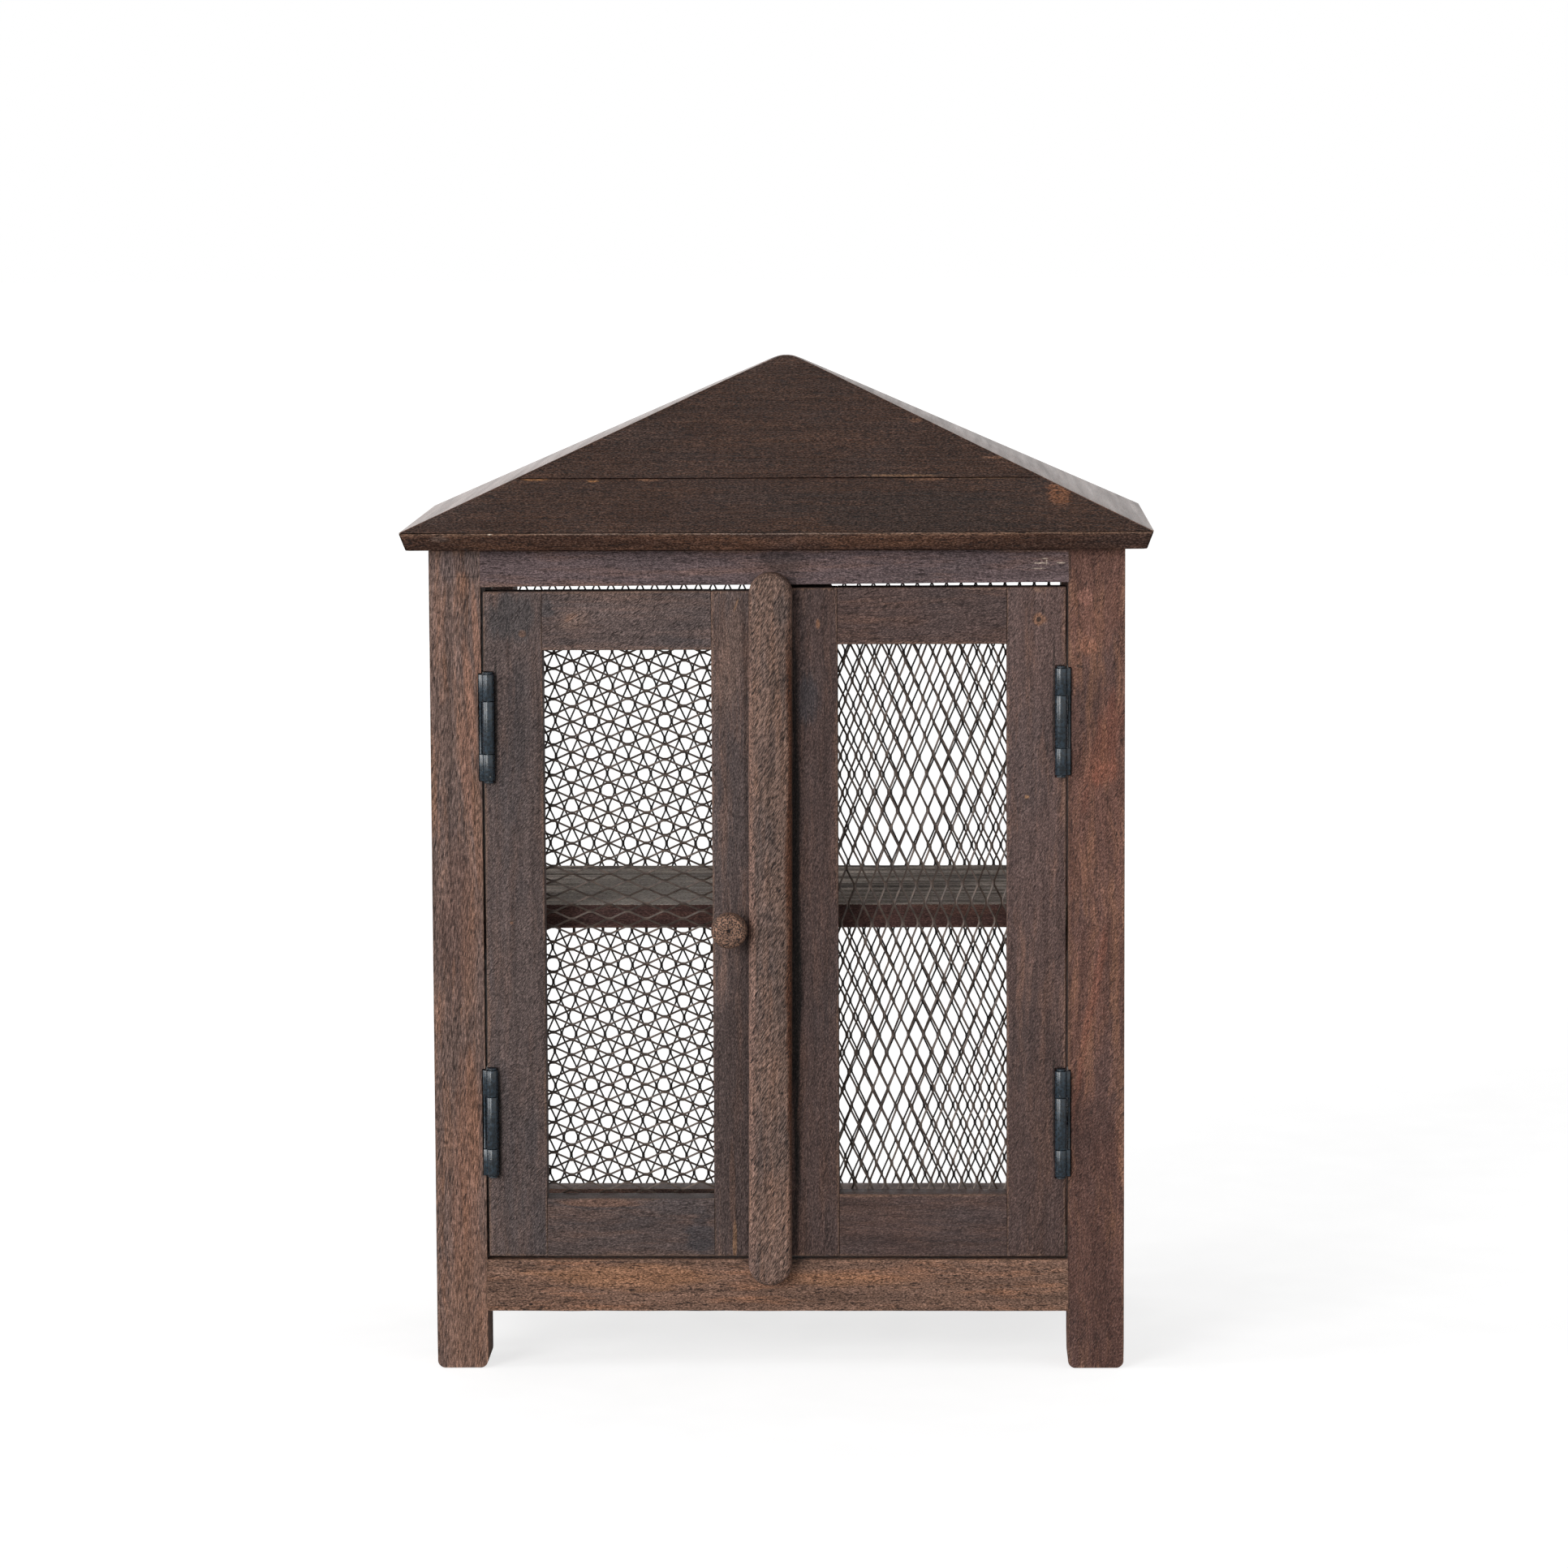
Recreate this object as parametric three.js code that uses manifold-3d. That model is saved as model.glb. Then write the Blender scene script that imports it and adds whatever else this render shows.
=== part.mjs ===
// Tabletop pie safe: a small hardwood cabinet with a hipped roof, two wire mesh doors and one shelf.
// Millimetres, +Z up, the front faces -Y. The origin is on the ground, below the middle of the whole object.

import * as THREE from 'three';
import { ConvexGeometry } from 'three/addons/geometries/ConvexGeometry.js';
import { mergeGeometries, mergeVertices } from 'three/addons/utils/BufferGeometryUtils.js';
import Module from 'manifold-3d';

const wasm = await Module();
wasm.setup();

// Clearances
const fit = 0.3;
const overrun = 4;

// Roof
const roofWidth = 355.6;
const roofDepth = 203.2;
const overallHeight = 482.6;
const roofRise = 79.8;
const eaveHeight = 8.6;
const eaveBevel = 3.1;
const eaveBoardWidth = 24;
const apexDrift = 3;
const apexRadius = 16;
const roofWallShare = 0.15;
const lowConeShare = 0.96;
const lowerBoardShare = 0.295;
const hipGap = 0.2;
const ceilingThickness = 6;

// Body frame
const eaveOverhang = 13;
const postWidths = { front_left: 24.6, front_right: 27.1, back_left: 29.7, back_right: 26.9 };
const postDepth = 32;
const footRadius = 4;
const railThickness = 18;
const groundClearance = 27.6;
const bottomRailHeight = 25.7;
const backBottomRailHeight = 30.4;
const topRailHeight = 16.8;
const topRailTaper = 1.7;
const hiddenTopRailHeight = 25;
const tenonThicknessShare = 0.34;
const tenonHeightShare = 0.5;
const tenonReachShare = 0.4;

// Inside
const floorThickness = 6;
const floorSink = 11.3;
const floorGrooveDepth = 5;
const shelfRise = 179.6;
const shelfThickness = 11.8;
const shelfSetback = 10.3;
const shelfBackGap = 4.6;
const cleatWidth = 18;
const cleatHeight = 12;
const stopWidth = 35;
const stopDrop = 10;
const stopThickness = 13;
const stopOffset = 9.3;

// Doors
const doorThickness = 15;
const doorBottomGap = 1.2;
const hingeSideGap = 0.8;
const meetingGap = 3.5;
const stileWidth = 28.4;
const doorSizes = {
  left: { topGap: 2.7, topRail: 28.3, bottomRail: 28.4 },
  right: { topGap: 1.3, topRail: 27.2, bottomRail: 30.4 },
};

// Batten and knob on the left door
const battenWidth = 21;
const battenAbove = 9.2;
const battenBelow = 12.9;
const battenThickness = 9;
const battenEdgeRadius = 3;
const battenShift = 2.35;
const battenLean = 0.3;
const knobRadius = 8.3;
const knobProud = 17;
const knobBattenGap = 0.5;
const knobRise = 159.5;
const knobProfileShares = [
  [0.6, 0], [0.56, 0.24], [0.8, 0.38], [1, 0.56], [1, 0.78], [0.82, 1], [0.14, 1], [0.14, 0.9],
];
const knobScrewRadius = 1.6;
const knobScrewHeadRadius = 3.4;
const knobScrewHeadThickness = 1.6;
const knobScrewGripShare = 0.5;

// Butt hinges: the insets run from each hinge's middle to the nearer end of its door
const hingeLength = 50.8;
const hingeInsets = { left: { upper: 64.7, lower: 65.3 }, right: { upper: 63.8, lower: 64.7 } };
const barrelRadius = 2.9;
const axisInset = 3.2;
const axisProud = 1.2;
const leafThickness = 1.2;
const leafWidth = 13;
const endKnuckleShare = 0.25;
const pinRadius = 1.3;
const pinHeadRadius = 2.2;
const pinHeadThickness = 0.7;

// Wire mesh, drawn wider than the real one so that it stays light
const netThickness = 1;
const netOverlap = 8;
const sideNetEdge = 3;
const doorDiamondLength = 35;
const doorDiamondWidth = 14.4;
const doorStrand = 1.4;
const wallDiamondLength = 62;
const wallDiamondWidth = 25.4;
const wallStrand = 2;
const leastHoleShare = 0.06;
const leastHoleEdge = 0.2;

// Facets
const barrelSides = 20;
const boreSides = 12;
const knobSides = 24;
const roundingSteps = 4;
const apexSides = 24;

// Levels and faces that several pieces share
const bodyWidth = roofWidth - 2 * eaveOverhang;
const bodyDepth = roofDepth - 2 * eaveOverhang;
const eaveTop = overallHeight - roofRise;
const bodyTop = eaveTop - eaveHeight - fit;
const front = -bodyDepth / 2;
const back = bodyDepth / 2;
const sideFace = bodyWidth / 2;
const bottomRailTop = groundClearance + bottomRailHeight;
const floorTop = bottomRailTop - floorSink;
const doorBottom = bottomRailTop + doorBottomGap;
const frontRailUnderside = bodyTop - topRailHeight;
const doorTops = {
  left: frontRailUnderside - doorSizes.left.topGap,
  right: frontRailUnderside - doorSizes.right.topGap,
};
const doorBack = front + doorThickness;
const knuckleClearance = barrelRadius + fit;

const finishes = {
  frame: { color: 0x5a3a30, roughness: 0.62, metalness: 0 },
  door: { color: 0x4a3330, roughness: 0.62, metalness: 0 },
  roof: { color: 0x3c2721, roughness: 0.6, metalness: 0 },
  rail: { color: 0x674636, roughness: 0.64, metalness: 0 },
  shelf: { color: 0x5d5450, roughness: 0.8, metalness: 0 },
  batten: { color: 0x6a5347, roughness: 0.7, metalness: 0 },
  steel: { color: 0x22262a, roughness: 0.45, metalness: 0.8 },
  mesh: { color: 0x2b2523, roughness: 0.55, metalness: 0.7 },
};

const part = new THREE.Group();
part.position.y = (bodyDepth / 2 + fit + knobProud - roofDepth / 2) / 2;
const leftDoor = new THREE.Group();
const rightDoor = new THREE.Group();
part.add(leftDoor, rightDoor);

function place(parent, name, geometry, finish) {
  const mesh = new THREE.Mesh(geometry, new THREE.MeshStandardMaterial(finishes[finish]));
  mesh.name = name;
  parent.add(mesh);
  return mesh;
}

// A span is [low, high]. A box is its three spans along X, Y and Z.
function span(a, b) {
  return [Math.min(a, b), Math.max(a, b)];
}

function grown(box, by) {
  return box.map(([low, high]) => [low - by, high + by]);
}

function middle([low, high], share) {
  const half = (high - low) * share / 2;
  const centre = (low + high) / 2;
  return [centre - half, centre + half];
}

function block(box) {
  const [sizeX, sizeY, sizeZ] = box.map(([low, high]) => high - low);
  const [midX, midY, midZ] = box.map(([low, high]) => (low + high) / 2);
  return new THREE.BoxGeometry(sizeX, sizeY, sizeZ).translate(midX, midY, midZ);
}

function rod(radius, x, y, [low, high], sides) {
  const geometry = new THREE.CylinderGeometry(radius, radius, high - low, sides);
  return geometry.rotateX(Math.PI / 2).translate(x, y, (low + high) / 2);
}

// An upright sheet: its outline is drawn in X and Z, and it is as thick as its span along Y
function sheet(outline, [near, far], bevel = {}) {
  const settings = { depth: far - near, bevelEnabled: false, curveSegments: roundingSteps, ...bevel };
  return new THREE.ExtrudeGeometry(outline, settings).rotateX(Math.PI / 2).translate(0, far, 0);
}

// A turned piece whose axis runs along Y, from the face that it stands on towards -Y
function turned(profile, x, face, z, sides) {
  return new THREE.LatheGeometry(profile, sides).rotateX(Math.PI).translate(x, face, z);
}

function toSolid(geometry) {
  const bare = geometry.clone();
  bare.deleteAttribute('normal');
  bare.deleteAttribute('uv');
  const merged = mergeVertices(bare);
  const vertProperties = new Float32Array(merged.attributes.position.array);
  const triVerts = new Uint32Array(merged.index.array);
  return new wasm.Manifold(new wasm.Mesh({ numProp: 3, vertProperties, triVerts }));
}

function toGeometry(solid) {
  const mesh = solid.getMesh();
  const geometry = new THREE.BufferGeometry();
  geometry.setAttribute('position', new THREE.BufferAttribute(new Float32Array(mesh.vertProperties), 3));
  geometry.setIndex(new THREE.BufferAttribute(new Uint32Array(mesh.triVerts), 1));
  geometry.computeVertexNormals();
  return geometry;
}

function join(first, ...others) {
  return toGeometry(others.reduce((solid, other) => solid.add(toSolid(other)), toSolid(first)));
}

function cut(first, ...cutters) {
  return toGeometry(cutters.reduce((solid, cutter) => solid.subtract(toSolid(cutter)), toSolid(first)));
}

function common(first, second) {
  return toGeometry(toSolid(first).intersect(toSolid(second)));
}

function postBox(corner) {
  const side = corner.endsWith('left') ? -1 : 1;
  const end = corner.startsWith('front') ? -1 : 1;
  const inner = side * (sideFace - postWidths[corner]);
  return [span(side * sideFace, inner), span(end * back, end * (back - postDepth)), [0, bodyTop]];
}

const postBoxes = Object.fromEntries(Object.keys(postWidths).map((corner) => [corner, postBox(corner)]));

// The clear width between two posts, shoulder to shoulder
function betweenPosts(end) {
  return [postBoxes[`${end}_left`][0][1] + fit, postBoxes[`${end}_right`][0][0] - fit];
}

const betweenDepths = [front + postDepth + fit, back - postDepth - fit];
const clearFront = [postBoxes.front_left[0][1], postBoxes.front_right[0][0]];
const meetingCentre = (clearFront[0] + clearFront[1]) / 2;

// The bar that runs through a rail and stands out of both ends as its tenons
function tenonBar(box, along, reaches) {
  const across = along === 0 ? 1 : 0;
  const bar = [...box];
  bar[along] = [box[along][0] - reaches[0], box[along][1] + reaches[1]];
  bar[across] = middle(box[across], tenonThicknessShare);
  bar[2] = middle(box[2], tenonHeightShare);
  return bar;
}

function crossRail(end, heights) {
  const y = end === 'front' ? [front, front + railThickness] : [back - railThickness, back];
  const box = [betweenPosts(end), y, heights];
  const reaches = ['left', 'right'].map((side) => postWidths[`${end}_${side}`] * tenonReachShare);
  return { box, bar: tenonBar(box, 0, reaches) };
}

function sideRail(side, heights) {
  const x = side === 'left' ? [-sideFace, railThickness - sideFace] : [sideFace - railThickness, sideFace];
  const box = [x, betweenDepths, heights];
  const reach = postDepth * tenonReachShare;
  return { box, bar: tenonBar(box, 1, [reach, reach]) };
}

const bottomHeights = [groundClearance, bottomRailTop];
const backBottomHeights = [groundClearance, groundClearance + backBottomRailHeight];
const frontTopHeights = [frontRailUnderside, bodyTop];
const hiddenTopHeights = [bodyTop - hiddenTopRailHeight, bodyTop];
const rails = {
  front_bottom_rail: crossRail('front', bottomHeights),
  back_bottom_rail: crossRail('back', backBottomHeights),
  left_bottom_rail: sideRail('left', bottomHeights),
  right_bottom_rail: sideRail('right', bottomHeights),
  front_top_rail: crossRail('front', frontTopHeights),
  back_top_rail: crossRail('back', hiddenTopHeights),
  left_top_rail: sideRail('left', hiddenTopHeights),
  right_top_rail: sideRail('right', hiddenTopHeights),
};

// Where a hinge sits: u runs from the post's inner face towards the door
function hingeSite(side, level) {
  const towardsDoor = side === 'left' ? 1 : -1;
  const face = side === 'left' ? clearFront[0] : clearFront[1];
  const inset = hingeInsets[side][level];
  const centre = level === 'upper' ? doorTops[side] - inset : doorBottom + inset;
  const heights = [centre - hingeLength / 2, centre + hingeLength / 2];
  const across = (a, b) => span(face + towardsDoor * a, face + towardsDoor * b);
  return { across, heights, axisX: face + towardsDoor * axisInset, axisY: front - axisProud };
}

const hingeNames = ['left', 'right'].flatMap((side) => ['upper', 'lower'].map((level) => [side, level]));

function knuckleHeights([low, high]) {
  const end = (high - low) * endKnuckleShare;
  return { lower: [low, low + end], centre: [low + end + fit, high - end - fit], upper: [high - end, high] };
}

function frameLeafMortise({ across, heights }) {
  const [low, high] = heights;
  const x = across(-leafThickness - fit, overrun);
  return block([x, [front - overrun, front + leafWidth + fit], [low - fit, high + fit]]);
}

function frameLeaf({ across, heights, axisX, axisY }) {
  const { lower, upper } = knuckleHeights(heights);
  const plate = block([across(-leafThickness, 0), [front, front + leafWidth], heights]);
  const tongueDepth = [axisY - leafThickness / 2, axisY + leafThickness / 2];
  const pieces = [lower, upper].flatMap((knuckle) => [
    block([across(-leafThickness, 0), [tongueDepth[0], front + leafThickness], knuckle]),
    block([across(-leafThickness, axisInset), tongueDepth, knuckle]),
    rod(barrelRadius, axisX, axisY, knuckle, barrelSides),
  ]);
  const [bore] = grown([heights], overrun);
  return cut(join(plate, ...pieces), rod(pinRadius + fit, axisX, axisY, bore, boreSides));
}

function doorLeaf({ across, heights, axisX, axisY }) {
  const { lower, centre, upper } = knuckleHeights(heights);
  const plateX = across(hingeSideGap, hingeSideGap + leafThickness);
  const plate = block([plateX, [front, front + leafWidth], heights]);
  const roomFor = ([low, high]) => rod(knuckleClearance, axisX, axisY, [low - fit, high + fit], barrelSides);
  const cleared = cut(plate, roomFor(lower), roomFor(upper));
  const knuckle = rod(barrelRadius, axisX, axisY, centre, barrelSides);
  const [bore] = grown([heights], overrun);
  return cut(join(cleared, knuckle), rod(pinRadius + fit, axisX, axisY, bore, boreSides));
}

function doorLeafMortises({ across, heights, axisX, axisY }) {
  const [low, high] = heights;
  const tall = [low - fit, high + fit];
  const x = across(hingeSideGap - overrun, hingeSideGap + leafThickness + fit);
  const leafRoom = block([x, [front - overrun, front + leafWidth + fit], tall]);
  const headRoom = fit + pinHeadThickness + fit;
  return [leafRoom, rod(knuckleClearance, axisX, axisY, [low - headRoom, high + headRoom], barrelSides)];
}

function hingePin({ heights, axisX, axisY }) {
  const [low, high] = heights;
  const top = high + fit + pinHeadThickness;
  const bottom = low - fit - pinHeadThickness;
  const points = [
    [0, bottom],
    [pinHeadRadius, bottom],
    [pinHeadRadius, low - fit],
    [pinRadius, low - fit],
    [pinRadius, high + fit],
    [pinHeadRadius, high + fit],
    [pinHeadRadius, top],
    [0, top],
  ];
  const profile = points.map(([radius, z]) => new THREE.Vector2(radius, z));
  return new THREE.LatheGeometry(profile, boreSides).rotateX(Math.PI / 2).translate(axisX, axisY, 0);
}

function makeHinges() {
  for (const [side, level] of hingeNames) {
    const site = hingeSite(side, level);
    const door = side === 'left' ? leftDoor : rightDoor;
    place(part, `${side}_${level}_hinge_frame_leaf`, frameLeaf(site), 'steel');
    place(part, `${side}_${level}_hinge_pin`, hingePin(site), 'steel');
    place(door, `${side}_${level}_hinge_door_leaf`, doorLeaf(site), 'steel');
  }
}

function footedOutline([left, right], [bottom, top]) {
  const outline = new THREE.Shape();
  outline.moveTo(left, top);
  outline.lineTo(left, bottom + footRadius);
  outline.absarc(left + footRadius, bottom + footRadius, footRadius, Math.PI, Math.PI * 1.5);
  outline.absarc(right - footRadius, bottom + footRadius, footRadius, -Math.PI / 2, 0);
  outline.lineTo(right, top);
  return outline;
}

function makePosts() {
  const mortises = Object.values(rails).map(({ bar }) => block(grown(bar, fit)));
  for (const [corner, [x, y, z]] of Object.entries(postBoxes)) {
    const leafRooms = hingeNames.filter(([side]) => corner === `front_${side}`)
      .map(([side, level]) => frameLeafMortise(hingeSite(side, level)));
    place(part, `${corner}_post`, cut(sheet(footedOutline(x, z), y), ...mortises, ...leafRooms), 'frame');
  }
}

// The floor lies in grooves of the bottom rails and is notched round the posts
const floorBox = [
  [railThickness - sideFace - floorGrooveDepth, sideFace - railThickness + floorGrooveDepth],
  [front + railThickness - floorGrooveDepth, back - railThickness + floorGrooveDepth],
  [floorTop - floorThickness, floorTop],
];

// The front top rail is a little taller at its left end than at its right
function taperedRail([[left, right], y, [low, high]]) {
  const halfTaper = topRailTaper / 2;
  const corners = [[left, low - halfTaper], [right, low + halfTaper], [right, high], [left, high]];
  return sheet(new THREE.Shape(corners.map(([x, z]) => new THREE.Vector2(x, z))), y);
}

function makeRails() {
  const groove = block(grown(floorBox, fit));
  for (const [name, { box, bar }] of Object.entries(rails)) {
    const body = name === 'front_top_rail' ? taperedRail(box) : block(box);
    const tenoned = join(body, block(bar));
    const grooved = name.endsWith('bottom_rail');
    place(part, name, grooved ? cut(tenoned, groove) : tenoned, grooved ? 'rail' : 'frame');
  }
}

function makeFloor() {
  const notches = Object.values(postBoxes).map((box) => block(grown(box, fit)));
  place(part, 'floor_board', cut(block(floorBox), ...notches), 'shelf');
}

const sideNetX = [sideFace - railThickness - fit - netThickness, sideFace - railThickness - fit];

function makeShelf() {
  const shelfTop = floorTop + shelfRise;
  const shelfBottom = shelfTop - shelfThickness;
  const shelfX = [
    Math.max(postBoxes.front_left[0][1], postBoxes.back_left[0][1]) + fit,
    Math.min(postBoxes.front_right[0][0], postBoxes.back_right[0][0]) - fit,
  ];
  const shelfY = [doorBack + shelfSetback, back - shelfBackGap];
  place(part, 'shelf', block([shelfX, shelfY, [shelfBottom, shelfTop]]), 'shelf');
  const cleatTop = shelfBottom - fit;
  const cleatOuter = sideNetX[0] - fit;
  for (const [name, side] of [['left_shelf_cleat', -1], ['right_shelf_cleat', 1]]) {
    const x = span(side * cleatOuter, side * (cleatOuter - cleatWidth));
    place(part, name, block([x, betweenDepths, [cleatTop - cleatHeight, cleatTop]]), 'shelf');
  }
}

// The block behind the front top rail that both doors close against
function makeDoorStop() {
  const centre = meetingCentre + stopOffset;
  const x = [centre - stopWidth / 2, centre + stopWidth / 2];
  const y = [doorBack + fit, doorBack + fit + stopThickness];
  const z = [frontRailUnderside - stopDrop, bodyTop];
  const railRoom = [grown([rails.front_top_rail.box[0]], overrun)[0], [front, front + railThickness + fit],
    [frontRailUnderside - topRailTaper, bodyTop + overrun]];
  place(part, 'door_stop', cut(block([x, y, z]), block(railRoom)), 'door');
}

// The part of a polygon on one side of an edge of the window: along is the edge's axis, 0 or 1, and keep is 1
// for the side above the edge and -1 for the side below it
function clipSide(points, along, limit, keep) {
  const inside = (point) => keep * (point[along] - limit) >= 0;
  return points.flatMap((point, index) => {
    const next = points[(index + 1) % points.length];
    const kept = inside(point) ? [point] : [];
    if (inside(point) === inside(next)) return kept;
    const share = (limit - point[along]) / (next[along] - point[along]);
    return [...kept, [0, 1].map((axis) => point[axis] + share * (next[axis] - point[axis]))];
  });
}

function clipToWindow(points, [x, z]) {
  const sides = [[0, x[0], 1], [0, x[1], -1], [1, z[0], 1], [1, z[1], -1]];
  return sides.reduce((polygon, [along, limit, keep]) => clipSide(polygon, along, limit, keep), points);
}

// A corner that all but meets the next one, where a clip runs through a diamond's own corner, is left out
function isApartFromNext(point, index, points) {
  return point.distanceTo(points[(index + 1) % points.length]) > leastHoleEdge;
}

// Diamond holes in rows, every other row moved by half a diamond, cut off at the edges of the window
function diamondHoles(window, wide, tall, strand) {
  const [midX, midZ] = window.map(([low, high]) => (low + high) / 2);
  const [countX, countZ] = window.map(([low, high], axis) => Math.ceil((high - low) / [wide, tall][axis]));
  const shrink = 1 - strand * Math.hypot(wide, tall) / (wide * tall);
  const reachX = wide * shrink / 2;
  const reachZ = tall * shrink / 2;
  const leastArea = wide * tall * leastHoleShare;
  const holes = [];
  for (let row = -countZ; row <= countZ; row += 1) {
    for (let column = -countX; column <= countX; column += 1) {
      const x = midX + (column + (row % 2 === 0 ? 0 : 0.5)) * wide;
      const z = midZ + row * tall / 2;
      const diamond = [[x - reachX, z], [x, z - reachZ], [x + reachX, z], [x, z + reachZ]];
      const corners = clipToWindow(diamond, window).map(([px, pz]) => new THREE.Vector2(px, pz));
      const points = corners.filter(isApartFromNext);
      if (points.length > 2 && Math.abs(THREE.ShapeUtils.area(points)) > leastArea) holes.push(points);
    }
  }
  return holes;
}

function net([x, z], window, wide, tall, strand, y) {
  const [through] = grown([y], overrun);
  const diamonds = diamondHoles(window, wide, tall, strand);
  const holes = diamonds.map((points) => sheet(new THREE.Shape(points), through));
  return cut(block([x, y, z]), mergeGeometries(holes));
}

function makeWallNets() {
  const backWindow = [betweenPosts('back'), [backBottomHeights[1], hiddenTopHeights[0]]];
  const backNetY = [back + fit, back + fit + netThickness];
  const backEdges = grown(backWindow, netOverlap);
  const backNet = net(backEdges, backWindow, wallDiamondWidth, wallDiamondLength, wallStrand, backNetY);
  place(part, 'back_mesh', backNet, 'mesh');
  const edges = [betweenDepths, [floorTop + fit, hiddenTopHeights[0] + netOverlap]];
  const sideWindowY = [betweenDepths[0] + sideNetEdge, betweenDepths[1] - sideNetEdge];
  const sideWindow = [sideWindowY, [bottomRailTop, hiddenTopHeights[0]]];
  const leftNet = net(edges, sideWindow, wallDiamondWidth, wallDiamondLength, wallStrand, sideNetX);
  place(part, 'left_side_mesh', leftNet.clone().rotateZ(Math.PI / 2), 'mesh');
  place(part, 'right_side_mesh', leftNet.rotateZ(-Math.PI / 2), 'mesh');
}

// Four boards with mitred corners, bevelled in towards the bottom of their outer faces
function makeEaves() {
  const heights = [eaveTop - eaveHeight, eaveTop];
  const ring = (inset, z, shorten) => [roofWidth / 2 - inset - shorten, roofDepth / 2 - inset, z];
  const board = (shorten) => [
    ring(0, heights[1], shorten),
    ring(eaveBevel, heights[0], shorten),
    ring(eaveBoardWidth, heights[1], shorten),
    ring(eaveBoardWidth, heights[0], shorten),
  ];
  const hull = (points) => new ConvexGeometry(points.map(([x, y, z]) => new THREE.Vector3(x, y, z)));
  const flip = (point, axis) => point.map((value, index) => (index === axis ? -value : value));
  const mirrored = (points, axis) => points.map((point) => flip(point, axis));
  const long = board(fit);
  const short = board(0);
  const backBoard = [...long, ...mirrored(long, 0)];
  const rightBoard = [...short, ...mirrored(short, 1)];
  place(part, 'front_eave_board', hull(mirrored(backBoard, 1)), 'roof');
  place(part, 'back_eave_board', hull(backBoard), 'roof');
  place(part, 'left_eave_board', hull(mirrored(rightBoard, 0)), 'roof');
  place(part, 'right_eave_board', hull(rightBoard), 'roof');
}

function makeCeiling() {
  const inset = eaveBoardWidth + fit;
  const x = [inset - roofWidth / 2, roofWidth / 2 - inset];
  const y = [inset - roofDepth / 2, roofDepth / 2 - inset];
  const bottom = bodyTop + fit;
  place(part, 'ceiling_board', block([x, y, [bottom, bottom + ceilingThickness]]), 'shelf');
}

const roofBottom = eaveTop + fit;
const domeCentre = overallHeight - apexRadius;
const slopeAngle = Math.atan((overallHeight - roofBottom) / (roofWidth / 2));
const sharpApex = domeCentre + apexRadius / Math.cos(slopeAngle);

// A dome over a wide cone, flatter than the hips, that rounds the tip of the roof and touches nothing else
function apexTrimmer() {
  const hipRun = Math.hypot(roofWidth, roofDepth) / 2;
  const coneAngle = Math.atan((sharpApex - roofBottom) / hipRun) * lowConeShare;
  const profile = [new THREE.Vector2(0, roofBottom - overrun)];
  const rim = apexRadius * Math.sin(coneAngle);
  const rimHeight = domeCentre + apexRadius * Math.cos(coneAngle);
  const reach = hipRun + overrun;
  profile.push(new THREE.Vector2(reach, roofBottom - overrun));
  profile.push(new THREE.Vector2(reach, rimHeight - (reach - rim) * Math.tan(coneAngle)));
  for (let step = roundingSteps; step >= 0; step -= 1) {
    const angle = coneAngle * step / roundingSteps;
    profile.push(new THREE.Vector2(apexRadius * Math.sin(angle), domeCentre + apexRadius * Math.cos(angle)));
  }
  return new THREE.LatheGeometry(profile, apexSides).rotateX(Math.PI / 2).translate(apexDrift, 0, 0);
}

// A board of one slope, between two shares of the way from the eave to the apex
function slopeBoard(corners, shift, fromShare, toShare) {
  const foot = new THREE.Vector3(apexDrift, 0, roofBottom);
  const apex = new THREE.Vector3(apexDrift, 0, sharpApex);
  const points = corners.flatMap(([x, y]) => {
    const outer = new THREE.Vector3(x * (roofWidth / 2 - hipGap), y * (roofDepth / 2 - hipGap), roofBottom);
    return [fromShare, toShare].flatMap((share) => {
      const outerPoint = outer.clone().lerp(apex, share);
      return [outerPoint, outerPoint.clone().lerp(foot, roofWallShare)];
    });
  });
  const [shiftX, shiftY] = shift;
  return new ConvexGeometry(points).translate(shiftX * hipGap, shiftY * hipGap, 0);
}

function makeRoof() {
  const slopeLength = Math.hypot(sharpApex - roofBottom, roofDepth / 2);
  const halfJointShare = fit / slopeLength / 2;
  const trimmer = apexTrimmer();
  const ends = [['front', -1], ['back', 1]];
  for (const [name, y] of ends) {
    const corners = [[-1, y], [1, y]];
    const lower = slopeBoard(corners, [0, y], 0, lowerBoardShare - halfJointShare);
    const upper = slopeBoard(corners, [0, y], lowerBoardShare + halfJointShare, 1);
    place(part, `${name}_lower_roof_board`, lower, 'roof');
    place(part, `${name}_upper_roof_board`, common(upper, trimmer), 'roof');
  }
  for (const [name, x] of [['left', -1], ['right', 1]]) {
    const slope = slopeBoard([[x, -1], [x, 1]], [x, 0], 0, 1);
    place(part, `${name}_roof_board`, common(slope, trimmer), 'roof');
  }
}

// Where each door's pieces lie
function doorLayout(side) {
  const width = (clearFront[1] - clearFront[0] - 2 * hingeSideGap - meetingGap) / 2;
  const isLeft = side === 'left';
  const edge = isLeft ? clearFront[0] + hingeSideGap : clearFront[1] - hingeSideGap;
  const inward = isLeft ? 1 : -1;
  const { topRail, bottomRail } = doorSizes[side];
  const heights = [doorBottom, doorTops[side]];
  const meetingEdge = edge + inward * width;
  return {
    heights,
    hingeStile: span(edge, edge + inward * stileWidth),
    meetingStile: span(meetingEdge, meetingEdge - inward * stileWidth),
    opening: span(edge + inward * stileWidth, meetingEdge - inward * stileWidth),
    openingHeights: [doorBottom + bottomRail, heights[1] - topRail],
  };
}

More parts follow.
